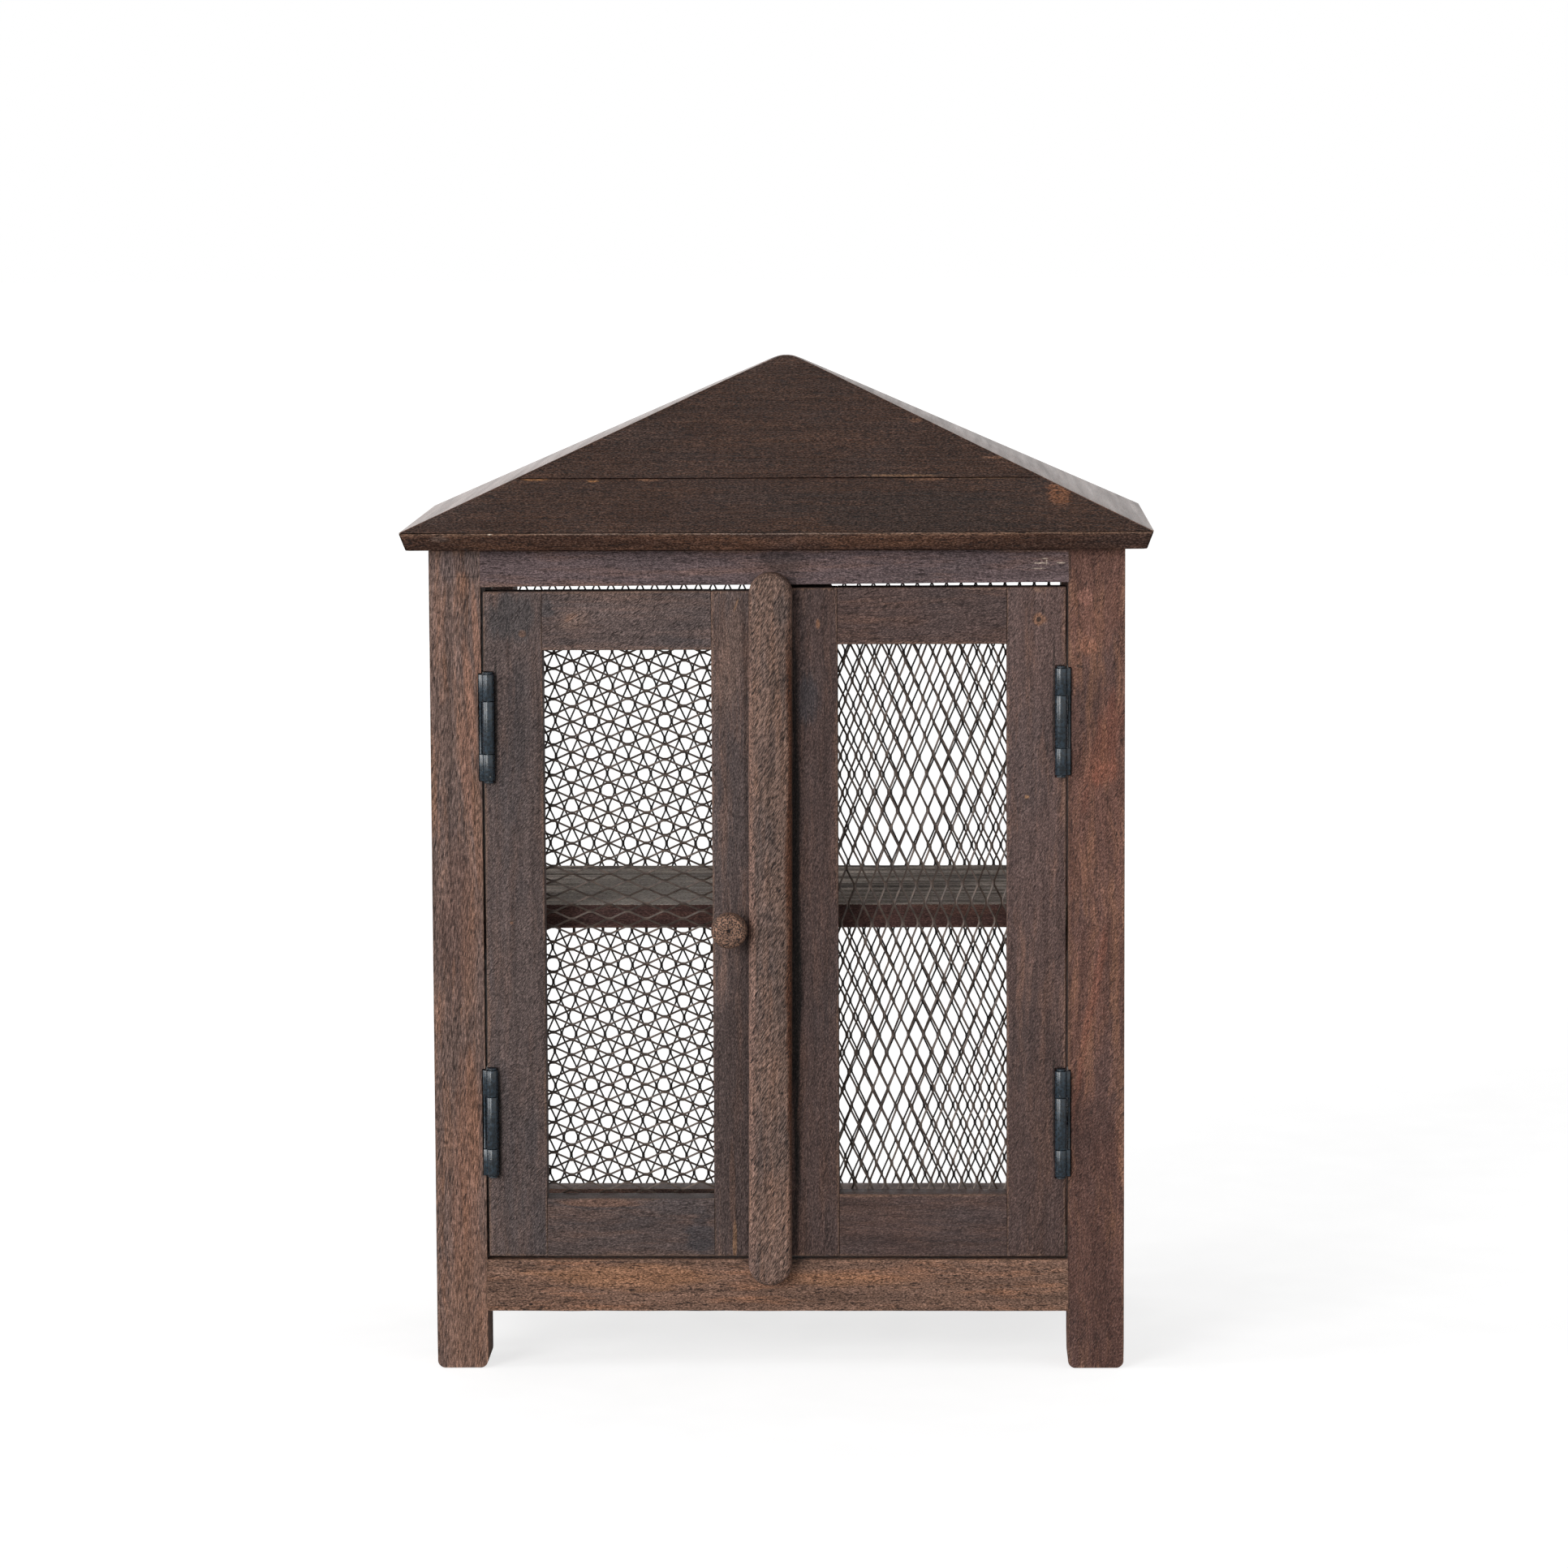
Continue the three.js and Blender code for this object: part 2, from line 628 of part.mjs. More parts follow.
const battenCentre = meetingCentre - battenShift;
const knobCentre = battenCentre - battenWidth / 2 - knobBattenGap - knobRadius;
const knobHeight = doorBottom + knobRise;
const knobSeat = front - fit;
const knobScrewTip = knobProud * knobScrewGripShare;

function knobScrewRoom(radius) {
  const [bore] = grown([[front, doorBack]], overrun);
  const hole = rod(radius + fit, 0, 0, bore, boreSides);
  return hole.rotateX(-Math.PI / 2).translate(knobCentre, 0, knobHeight);
}

function makeDoor(door, side) {
  const { heights, hingeStile, meetingStile, opening, openingHeights } = doorLayout(side);
  const y = [front, doorBack];
  const railX = [opening[0] + fit, opening[1] - fit];
  const reach = stileWidth * tenonReachShare;
  const bottomRail = [railX, y, [heights[0], openingHeights[0]]];
  const topRail = [railX, y, [openingHeights[1], heights[1]]];
  const bars = [bottomRail, topRail].map((box) => tenonBar(box, 0, [reach, reach]));
  const mortises = bars.map((bar) => block(grown(bar, fit)));
  const leafRooms = ['upper', 'lower'].flatMap((level) => doorLeafMortises(hingeSite(side, level)));
  const knobHoles = side === 'left' ? [knobScrewRoom(knobScrewRadius)] : [];
  const hingePost = cut(block([hingeStile, y, heights]), ...mortises, ...leafRooms);
  place(door, `${side}_door_hinge_stile`, hingePost, 'door');
  const meetingPost = cut(block([meetingStile, y, heights]), ...mortises, ...knobHoles);
  place(door, `${side}_door_meeting_stile`, meetingPost, 'door');
  place(door, `${side}_door_bottom_rail`, join(block(bottomRail), block(bars[0])), 'door');
  place(door, `${side}_door_top_rail`, join(block(topRail), block(bars[1])), 'door');
  const window = [opening, openingHeights];
  const netY = [doorBack + fit, doorBack + fit + netThickness];
  const sizes = [doorDiamondLength, doorDiamondWidth];
  if (side === 'right') sizes.reverse();
  const mesh = net(grown(window, netOverlap), window, ...sizes, doorStrand, netY);
  const headRooms = side === 'left' ? [knobScrewRoom(knobScrewHeadRadius)] : [];
  place(door, `${side}_door_mesh`, cut(mesh, ...headRooms), 'mesh');
}

// The batten has full round ends, a flat back on the doors and rounded front edges
function makeBatten() {
  const radius = battenWidth / 2;
  const core = radius - battenEdgeRadius;
  const bottom = doorBottom - battenBelow;
  const length = doorTops.left + battenAbove - bottom;
  const halfStraight = length / 2 - radius;
  const outline = new THREE.Shape();
  outline.absarc(0, halfStraight, core, 0, Math.PI);
  outline.absarc(0, -halfStraight, core, Math.PI, Math.PI * 2);
  const seat = front - fit;
  const rounding = {
    bevelEnabled: true,
    bevelSize: battenEdgeRadius,
    bevelThickness: battenEdgeRadius,
    bevelSegments: roundingSteps - 1,
    curveSegments: roundingSteps * 2,
  };
  const long = sheet(outline, [seat - battenThickness + battenEdgeRadius, seat + overrun], rounding);
  const keepDepth = [seat - battenThickness - overrun, seat];
  const keep = block([[-battenWidth, battenWidth], keepDepth, [-length, length]]);
  const batten = place(leftDoor, 'meeting_batten', common(long, keep), 'batten');
  batten.rotation.y = THREE.MathUtils.degToRad(battenLean);
  batten.position.set(battenCentre, 0, bottom + length / 2);
}

function makeKnob() {
  const boreRadius = knobScrewRadius + fit;
  const turnedPoints = knobProfileShares.map(([radius, height]) => [radius * knobRadius, height * knobProud]);
  const points = [
    [0, knobScrewTip + fit],
    [boreRadius, knobScrewTip + fit],
    [boreRadius, 0],
    ...turnedPoints,
    [0, turnedPoints.at(-1)[1]],
  ];
  const profile = points.map(([radius, height]) => new THREE.Vector2(radius, height));
  place(leftDoor, 'knob', turned(profile, knobCentre, knobSeat, knobHeight, knobSides), 'batten');
}

function makeKnobScrew() {
  const headSeat = doorBack + fit;
  const length = headSeat - knobSeat + knobScrewTip;
  const points = [
    [0, -knobScrewHeadThickness],
    [knobScrewHeadRadius, -knobScrewHeadThickness],
    [knobScrewHeadRadius, 0],
    [knobScrewRadius, 0],
    [knobScrewRadius, length],
    [0, length],
  ];
  const profile = points.map(([radius, height]) => new THREE.Vector2(radius, height));
  place(leftDoor, 'knob_screw', turned(profile, knobCentre, headSeat, knobHeight, boreSides), 'steel');
}

makePosts();
makeRails();
makeFloor();
makeShelf();
makeDoorStop();
makeWallNets();
makeEaves();
makeCeiling();
makeRoof();
makeDoor(leftDoor, 'left');
makeDoor(rightDoor, 'right');
makeBatten();
makeKnob();
makeKnobScrew();
makeHinges();

export default part;
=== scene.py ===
"""Looks of a tabletop pie safe: stained hardwood boards, expanded steel mesh and black butt hinges.

Everything is in metres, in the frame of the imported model: +Z up, the doors face -Y.
"""

import math
from typing import NamedTuple

import bmesh
import bpy
from mathutils import Matrix, Vector


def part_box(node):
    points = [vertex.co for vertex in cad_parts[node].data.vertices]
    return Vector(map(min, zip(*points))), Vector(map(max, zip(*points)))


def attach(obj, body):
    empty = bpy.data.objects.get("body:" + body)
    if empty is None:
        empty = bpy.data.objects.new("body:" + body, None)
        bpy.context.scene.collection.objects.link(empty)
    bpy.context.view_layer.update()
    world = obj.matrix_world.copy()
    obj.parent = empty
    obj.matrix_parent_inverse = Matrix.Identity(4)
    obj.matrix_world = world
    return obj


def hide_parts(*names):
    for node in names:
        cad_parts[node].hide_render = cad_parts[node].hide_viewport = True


bl_info = {
    "name": "Pie safe",
    "version": (1, 0, 0),
    "blender": (4, 5, 0),
    "location": "View3D > Sidebar > Pie safe",
    "description": "Builds the boards, wire mesh, hinges and finishes of a tabletop pie safe",
    "category": "Object",
}

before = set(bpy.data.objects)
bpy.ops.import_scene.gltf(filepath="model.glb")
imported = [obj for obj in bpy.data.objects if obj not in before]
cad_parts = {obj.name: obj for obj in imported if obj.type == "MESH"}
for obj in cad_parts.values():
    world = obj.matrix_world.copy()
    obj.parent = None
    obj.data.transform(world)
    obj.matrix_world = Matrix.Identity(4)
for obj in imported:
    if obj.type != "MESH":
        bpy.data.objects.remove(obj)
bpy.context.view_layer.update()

MM = 0.001
TOUCH = 0.02 * MM
MERGE = 0.001 * MM
CAD_CLEARANCE = 0.3 * MM
FLAT_ANGLE = math.radians(0.4)
AXES = "XYZ"

# Where most of a noise layer's values lie, and where nearly all of them lie
NOISE_CORE = (0.34, 0.66)
NOISE_SPAN = (0.3, 0.7)


def linear(hex_colour):
    """An sRGB hex colour as linear red, green, blue and alpha."""
    shares = [int(hex_colour[start:start + 2], 16) / 255 for start in (1, 3, 5)]
    return tuple(s / 12.92 if s <= 0.04045 else ((s + 0.055) / 1.055) ** 2.4 for s in shares) + (1.0,)


def add(tree, kind, inputs=None, **settings):
    """Adds a shader node and gives its inputs values or links. A linked node stands for its first output."""
    node = tree.nodes.new("ShaderNode" + kind)
    for name, value in settings.items():
        setattr(node, name, value)
    for name, value in (inputs or {}).items():
        named = (socket for socket in node.inputs if socket.enabled and socket.name == name)
        socket = node.inputs[name] if isinstance(name, int) else next(named)
        if isinstance(value, bpy.types.Node):
            value = next(output for output in value.outputs if output.enabled)
        if isinstance(value, bpy.types.NodeSocket):
            tree.links.new(value, socket)
        else:
            socket.default_value = value
    return node


class Look(NamedTuple):
    """How one board took its stain and its wear, and for the roof's sloping sides also a painted sheen.

    Tone multiplies the stain's colour, slant is in degrees clockwise, and wander, streak and dash are in
    millimetres. The rest are shares, of which flecks may go a little over 1.
    """

    stain: str
    tone: float = 1.0
    rubbed: float = 0.35
    slate: float = 0.35
    flecks: float = 0.5
    slant: float = 0.0
    wear: float = 0.3
    wander: float = 5.0
    figure: float = 0.2
    rough: float = 0.6
    streak: float = 4.0
    dash: float = 1.2
    gloss: float = 0.2


LOOKS = {
    "left_post": Look("left_post", rubbed=0.45, slate=0.25, flecks=0.75, slant=6, figure=0.32, dash=3.2),
    "right_post": Look("right_post", rubbed=0.45, slate=0.3, flecks=0.65, slant=28, wander=12, figure=0.28),
    "hidden_frame": Look("hidden_frame", slant=5),
    "top_rail": Look("top_rail", rubbed=0.2, flecks=0.65),
    "bottom_rail": Look("bottom_rail", rubbed=0.75, slate=0.2, flecks=0.85, wear=0.5, wander=2, figure=0.34),
    "left_hinge_stile": Look("left_door", rubbed=0.1, slate=0.45, flecks=0.7, slant=36),
    "left_meeting_stile": Look("left_door", rubbed=0.2, slate=0.2, flecks=0.65, slant=12),
    "left_top_rail": Look("left_door", tone=1.18, rubbed=0.15, slate=0.45, flecks=0.75, slant=-32),
    "left_bottom_rail": Look("left_door", tone=0.88, rubbed=0.15, slate=0.4, flecks=0.65, slant=-8),
    "right_meeting_stile": Look("right_door", tone=0.95, rubbed=0.1, slate=0.25, flecks=0.65, slant=14),
    "right_top_rail": Look("right_door", tone=1.05, rubbed=0.15, slate=0.3, flecks=0.7, slant=-12),
    "right_bottom_rail": Look("right_door", tone=0.9, rubbed=0.1, slate=0.3, flecks=0.55, slant=-6),
    "right_hinge_stile": Look("right_door", tone=1.38, rubbed=0.25, slate=0.25, flecks=0.65, slant=26),
    "roof": Look("roof", rubbed=0.08, slate=0.15, flecks=1.1, wear=0.05, wander=1.5, rough=0.36,
                 streak=2.2, gloss=0.1),
    # The roof's sides are the roof stain made 2.6 times lighter: a painted sheen on their slopes
    "roof_side": Look("roof", tone=2.6, rubbed=0.1, slate=0.1, flecks=0.7, wear=0.4, wander=1.5, figure=0.36,
                      rough=0.32, streak=5.5, gloss=0.33),
    "eave": Look("roof", tone=1.15, rubbed=0.2, slate=0.15, flecks=0.9, wear=0.4, wander=1.5, rough=0.45,
                 gloss=0.15),
    "shelf": Look("shelf", rubbed=0.1, slate=0.65, flecks=0.8, wear=0.1, wander=1.5, figure=0.9,
                  rough=0.9, streak=8, gloss=0.05),
    "shelf_edge": Look("shelf_edge", rubbed=0.1, slate=0.2, wear=0.1, wander=2, rough=0.75),
    "batten": Look("batten", rubbed=0.25, slate=0.45, flecks=1.0, slant=26, wear=0.2, wander=4, figure=0.3,
                   dash=2.2),
}


class Mark(NamedTuple):
    """A spot, scratch, crack or painted shade on a front face: its middle and how far it reaches, in
    millimetres.
    """

    x: float
    z: float
    reach_x: float
    reach_z: float
    colour: str
    share: float = 0.8
    turn: float = 0.0


RUBBED_SPOT = "#8f664e"
# Near black for holes and joint lines, and for the painted shade beside the hinge barrels
DARK_HOLE_AND_SHADE = "#17110f"
BARE_CHIP = "#b88a62"
SCRATCH = "#cbb9a8"

MARKS = {
    "front_left_post": [
        Mark(-142.4, 348, 1.6, 30, "#a3755f", 0.5, -3),
        Mark(-145.6, 322, 2.6, 32, "#a3755f", 0.55, -5),
        Mark(-148.2, 292, 3.2, 34, "#9c6f5a", 0.5, -5),
        Mark(-142.8, 262, 2.2, 34, RUBBED_SPOT, 0.45, -2),
        Mark(-147.5, 205, 4.2, 40, RUBBED_SPOT, 0.3, 2),
        Mark(-146.5, 120, 3.5, 36, RUBBED_SPOT, 0.4, -2),
        Mark(-150, 95, 8, 60, "#8f6048", 0.35, 2),
        Mark(-152, 216, 10, 42, "#57392f", 0.4, 3),
        Mark(-149, 30, 14, 40, RUBBED_SPOT, 0.35, 2),
        Mark(-148.5, 381.3, 8, 0.35, DARK_HOLE_AND_SHADE, 0.6),
        Mark(-150, 387, 13, 8, "#574c4c", 0.5),
        Mark(-148.5, 388, 0.35, 5, DARK_HOLE_AND_SHADE, 0.5),
        Mark(-146.4, 212, 1.6, 2.2, DARK_HOLE_AND_SHADE, 0.4),
    ],
    "front_right_post": [
        Mark(143.1, 338.1, 2.6, 1.3, DARK_HOLE_AND_SHADE, 0.75, 12),
        Mark(147.7, 347.5, 6.5, 4.5, "#9c6a53", 0.6, 25),
        Mark(145.6, 370.8, 5, 3.6, "#96685a", 0.55, 30),
        Mark(154, 288, 6, 8, "#935a45", 0.5, 25),
        Mark(152, 358, 9, 18, "#8b5d4b", 0.35, 20),
        Mark(154, 300, 6, 30, "#7d4634", 0.35, 18),
        Mark(151, 50, 20, 90, "#3c2622", 0.42),
        Mark(148, 170, 2.5, 44, "#8a5340", 0.35, 10),
        Mark(139.6, 262, 0.5, 4.5, DARK_HOLE_AND_SHADE, 0.6),
        Mark(138.2, 385, 0.9, 10, DARK_HOLE_AND_SHADE, 0.6),
    ],
    "left_door_hinge_stile": [
        Mark(-120.7, 354.2, 1.6, 1.5, RUBBED_SPOT, 0.8),
        Mark(-127, 362, 12, 11, "#35373a", 0.55, 20),
        Mark(-112.9, 300, 1.2, 40, "#3a2a24", 0.35),
        Mark(-127, 216, 1, 1, RUBBED_SPOT, 0.55),
        Mark(-111.3, 361, 0.5, 15, DARK_HOLE_AND_SHADE, 0.7, 1),
        # Painted shade beside the upper and lower hinge barrels
        Mark(-133.5, 313, 0.8, 29, DARK_HOLE_AND_SHADE, 0.85),
        Mark(-133.5, 119.8, 0.8, 29, DARK_HOLE_AND_SHADE, 0.85),
        Mark(-111.3, 68.5, 0.45, 14, DARK_HOLE_AND_SHADE, 0.65),
    ],
    "left_door_top_rail": [
        Mark(-96.5, 360.5, 9.5, 5.5, "#826a5f", 0.5, -20),
        Mark(-98, 361.5, 4, 1.8, RUBBED_SPOT, 0.35, -26),
        Mark(-109, 366, 3.5, 7, "#35373a", 0.55),
    ],
    "left_door_bottom_rail": [
        Mark(-84, 80.5, 22, 2.2, "#8a6450", 0.45),
        Mark(-38, 66, 7, 11, "#34353a", 0.55),
        Mark(-64, 69.5, 5, 1, DARK_HOLE_AND_SHADE, 0.35, -10),
    ],
    "left_door_meeting_stile": [
        Mark(-19.1, 367.8, 0.4, 3.2, BARE_CHIP, 0.5, 20),
        Mark(-21.6, 62, 1, 9, BARE_CHIP, 0.6),
        Mark(-22.5, 90, 1.4, 22, RUBBED_SPOT, 0.3),
        Mark(-14.8, 310, 1.2, 60, "#3a2c27", 0.4),
        Mark(-23, 340, 8, 30, "#80665a", 0.45, 8),
        Mark(-14, 110, 20, 125, "#352623", 0.5),
        Mark(-31.1, 361, 0.45, 14, DARK_HOLE_AND_SHADE, 0.6),
        Mark(-31.1, 68.5, 0.45, 14, DARK_HOLE_AND_SHADE, 0.6),
    ],
    "right_door_meeting_stile": [
        Mark(19.6, 358.5, 0.9, 2.2, RUBBED_SPOT, 0.9),
        Mark(14, 322, 6, 14, "#34363c", 0.6),
        # Painted shadow beside the cover batten, near black all along its edge
        Mark(8.4, 212, 2.7, 172, "#0f0a09", 0.95),
        Mark(28.6, 362, 0.4, 13, DARK_HOLE_AND_SHADE, 0.6),
        Mark(28.6, 69.5, 0.4, 15, DARK_HOLE_AND_SHADE, 0.6),
    ],
    "right_door_hinge_stile": [
        Mark(123.9, 360.5, 3.2, 2.8, RUBBED_SPOT, 0.8),
        Mark(123.9, 360.5, 1.1, 1.2, DARK_HOLE_AND_SHADE, 0.85),
        Mark(118.2, 276, 1.1, 0.9, BARE_CHIP, 0.7),
        Mark(124, 376, 4, 3, "#8a6a55", 0.4),
        Mark(123, 90, 24, 120, "#3b2a26", 0.5),
        Mark(108.8, 363, 0.5, 13, DARK_HOLE_AND_SHADE, 0.7),
        # Painted shade beside the upper and lower hinge barrels
        Mark(131, 316, 0.7, 29, DARK_HOLE_AND_SHADE, 0.8),
        Mark(131, 119.2, 0.7, 29, DARK_HOLE_AND_SHADE, 0.8),
        Mark(108.8, 69.5, 0.4, 15, DARK_HOLE_AND_SHADE, 0.6),
    ],
    "front_bottom_rail": [
        Mark(-119.7, 31.3, 1.1, 0.8, DARK_HOLE_AND_SHADE, 0.9),
        Mark(-72, 45, 46, 6, "#a3714c", 0.45),
        Mark(30, 44, 42, 4, "#a3714c", 0.35),
        Mark(-3, 52, 15, 1.8, DARK_HOLE_AND_SHADE, 0.55),
    ],
    "shelf": [
        Mark(-75, 221.6, 62, 9, "#b9b0a8", 0.75),
        Mark(72, 221.6, 62, 9, "#5b534f", 0.5),
    ],
    "front_top_rail": [
        Mark(124.4, 387.1, 4.2, 0.35, SCRATCH, 0.75, -1),
        Mark(134.4, 387.2, 2.6, 0.5, SCRATCH, 0.7),
        Mark(126.6, 389.2, 2.6, 0.5, SCRATCH, 0.55, 2),
        Mark(123.8, 384.6, 3.6, 0.35, SCRATCH, 0.6, 1),
        Mark(127.6, 388, 0.4, 2.2, SCRATCH, 0.5, 4),
        # Painted shadow around the top of the cover batten
        Mark(2, 386, 16, 8, "#2e2726", 0.5),
    ],
    "front_lower_roof_board": [
        Mark(134, 418.5, 7, 6.5, "#97603f", 0.55),
        Mark(66, 411, 70, 11, "#2a211e", 0.5),
        Mark(-114.5, 426.3, 7.5, 1.1, "#b07a4c", 0.75),
        Mark(-87.4, 425.6, 4, 0.8, "#b07a4c", 0.7),
        Mark(-62, 425.9, 6, 0.7, RUBBED_SPOT, 0.6),
        Mark(70, 426, 12, 0.8, RUBBED_SPOT, 0.6),
        Mark(100, 426.4, 16, 0.5, "#8c6a4e", 0.4),
    ],
    "front_upper_roof_board": [
        Mark(65.8, 452.2, 4, 1, RUBBED_SPOT, 0.6),
        Mark(102.8, 435.4, 5.5, 0.8, RUBBED_SPOT, 0.5),
        Mark(60, 427.6, 18, 0.5, BARE_CHIP, 0.35),
    ],
    "front_eave_board": [
        Mark(-134.6, 402.2, 1.8, 0.5, "#e9d9c4", 0.95),
        Mark(-158, 400.5, 6, 2, "#6a5a52", 0.4),
        # A pale line of painted sheen along the whole top edge
        Mark(0, 402.5, 200, 0.7, "#8a7b73", 0.6),
    ],
    "meeting_batten": [
        Mark(-8.2, 327.7, 1.2, 1.4, DARK_HOLE_AND_SHADE, 0.75),
        Mark(-6, 172, 2.2, 2, DARK_HOLE_AND_SHADE, 0.4),
        Mark(-9.5, 62, 0.7, 0.7, DARK_HOLE_AND_SHADE, 0.8),
        Mark(-13.2, 212, 3.2, 180, "#8d6c5f", 0.5),
        Mark(3.2, 330.6, 4, 8, "#332927", 0.5, 15),
        Mark(3, 366.5, 5, 7, "#4a403e", 0.5),
        Mark(-5, 300, 6, 12, "#574540", 0.4, 10),
        Mark(6.5, 212, 2.9, 178, "#4e2810", 0.88),
    ],
}


class Board(NamedTuple):
    """A board that stands for a CAD node: its finish, its grain's axis, its body and its slot.

    Rounding is a share of the full rounding of an edge, and uneven a share of its full wander.
    """

    node: str
    look: str
    grain: str
    body: str = "cabinet"
    slot: str = "frame_wood"
    rounding: float = 0.9
    uneven: float = 0.5


# The grain of a board that runs along a side of the cabinet
SIDE_GRAINS = {"front": "X", "back": "X", "left": "Y", "right": "Y"}

POSTS_AND_RAILS = [
    Board("front_left_post", "left_post", "Z"),
    Board("front_right_post", "right_post", "Z"),
    Board("back_left_post", "hidden_frame", "Z"),
    Board("back_right_post", "hidden_frame", "Z"),
    *(Board(f"{side}_{level}_rail", f"{level}_rail" if side == "front" else "hidden_frame", grain)
      for level in ("bottom", "top") for side, grain in SIDE_GRAINS.items()),
]

INSIDE_BOARDS = [
    Board("floor_board", "shelf", "X", "cabinet", "shelf_wood", 0.4, 0.2),
    Board("shelf", "shelf", "X", "cabinet", "shelf_wood", 0.6, 0.4),
    Board("left_shelf_cleat", "shelf", "Y", "cabinet", "shelf_wood", 0.5, 0.3),
    Board("right_shelf_cleat", "shelf", "Y", "cabinet", "shelf_wood", 0.5, 0.3),
    Board("ceiling_board", "shelf", "X", "cabinet", "shelf_wood", 0.4, 0.2),
    Board("door_stop", "right_meeting_stile", "X", "cabinet", "door_wood", 0.5, 0.3),
]

DOOR_BOARDS = [
    Board(f"{side}_door_{piece}", f"{side}_{piece}", grain, f"{side}_door", "door_wood", 0.7, uneven)
    for side in ("left", "right")
    for piece, grain, uneven in (("hinge_stile", "Z", 0.4), ("meeting_stile", "Z", 0.4),
                                 ("top_rail", "X", 0.3), ("bottom_rail", "X", 0.3))
]

ROOF_BOARDS = [
    *(Board(f"{side}_{level}_roof_board", "roof", "X", "cabinet", "roof_wood", 0.4, 0.15)
      for side in ("front", "back") for level in ("lower", "upper")),
    *(Board(f"{side}_roof_board", "roof_side", "Y", "cabinet", "roof_wood", 0.4, 0.0)
      for side in ("left", "right")),
    *(Board(f"{side}_eave_board", "eave", grain, "cabinet", "roof_wood", 0.6, 0.3)
      for side, grain in SIDE_GRAINS.items()),
]

# Turns local X to the grain's axis, and keeps local Z on the board's face
GRAIN_TURNS = {"X": (0.0, 0.0, 0.0), "Y": (0.0, 0.0, math.pi / 2), "Z": (0.0, -math.pi / 2, 0.0)}


def new_material(name):
    """An empty node material, its tree and its Object coordinates."""
    material = bpy.data.materials.new(name)
    material.use_nodes = True
    tree = material.node_tree
    tree.nodes.clear()
    return material, tree, add(tree, "TexCoord").outputs["Object"]


def figure(tree, place, along, across, seed, detail=2.0, roughness=0.5):
    """A layer of the wood's figure, in blotches so many millimetres long along the grain and across it."""
    scale = (1 / (along * MM), 1 / (across * MM), 1 / (across * MM))
    spot = add(tree, "Mapping", {"Vector": place, "Scale": scale, "Location": (seed, seed * 1.7, seed * 0.6)})
    return add(tree, "TexNoise", {"Vector": spot, "Scale": 1.0, "Detail": detail, "Roughness": roughness})


def edge_distance(tree, place, half_size):
    """How far a point on a board is from its nearest long or end edge: the middle one of its three depths."""
    size = add(tree, "VectorMath", {0: place}, operation="ABSOLUTE")
    depth = add(tree, "VectorMath", {0: half_size, 1: size}, operation="SUBTRACT")
    x, y, z = add(tree, "SeparateXYZ", {0: depth}).outputs
    low = add(tree, "Math", {0: x, 1: y}, operation="MINIMUM")
    high = add(tree, "Math", {0: x, 1: y}, operation="MAXIMUM")
    high = add(tree, "Math", {0: high, 1: z}, operation="MINIMUM")
    return add(tree, "Math", {0: low, 1: high}, operation="MAXIMUM")


def ramp(value, span, results):
    """Settings that bring a value from its own span to the span of its results."""
    ends = {"From Min": span[0], "From Max": span[1], "To Min": results[0], "To Max": results[1]}
    return {"Value": value, **ends}


def shade(tree, colour, pattern, span, tones):
    """Darkens and lightens a colour, from one tone to the other as a pattern runs through a span."""
    settings = {"Factor": 1.0, "A": colour, "B": add(tree, "MapRange", ramp(pattern, span, tones))}
    return add(tree, "Mix", settings, data_type="RGBA", blend_type="MULTIPLY")


def coat(tree, colour, paint, pattern, span, share, blend="MIX", fade="LINEAR"):
    """Lays a paint over a colour, from none to the given share as a pattern runs through a span."""
    cover = add(tree, "MapRange", ramp(pattern, span, (0.0, share)), interpolation_type=fade)
    settings = {"Factor": cover, "A": colour, "B": paint}
    return add(tree, "Mix", settings, data_type="RGBA", blend_type=blend)


def finish_surface(material, surface, relief, strength, depth):
    """Closes a material with the values of its surface and a relief of the given depth."""
    tree = material.node_tree
    bump = add(tree, "Bump", {"Height": relief, "Strength": strength, "Distance": depth})
    shader = add(tree, "BsdfPrincipled", {**surface, "Normal": bump})
    add(tree, "OutputMaterial", {"Surface": shader})
    return material


def paint_marks(tree, own, colour, marks, ragged, front, depth):
    """Adds the marks of one board to its colour, each with a ragged rim."""
    # A mark fades in between these shares of its reach, and its rim moves in and out by so much of it
    fade_span = (1.15, 0.55)
    raggedness = 0.45
    for mark in marks:
        settings = {
            "Vector": own,
            "Location": (mark.x * MM, front, mark.z * MM),
            "Rotation": (0, math.radians(mark.turn), 0),
            "Scale": (mark.reach_x * MM, depth, mark.reach_z * MM),
        }
        spot = add(tree, "Mapping", settings, vector_type="TEXTURE")
        reach = add(tree, "VectorMath", {0: spot}, operation="LENGTH")
        rim = add(tree, "MapRange", ramp(ragged, NOISE_SPAN, (-raggedness, raggedness)))
        reach = add(tree, "Math", {0: reach, 1: rim}, operation="ADD")
        colour = coat(tree, colour, linear(mark.colour), reach, fade_span, mark.share, fade="SMOOTHSTEP")
    return colour


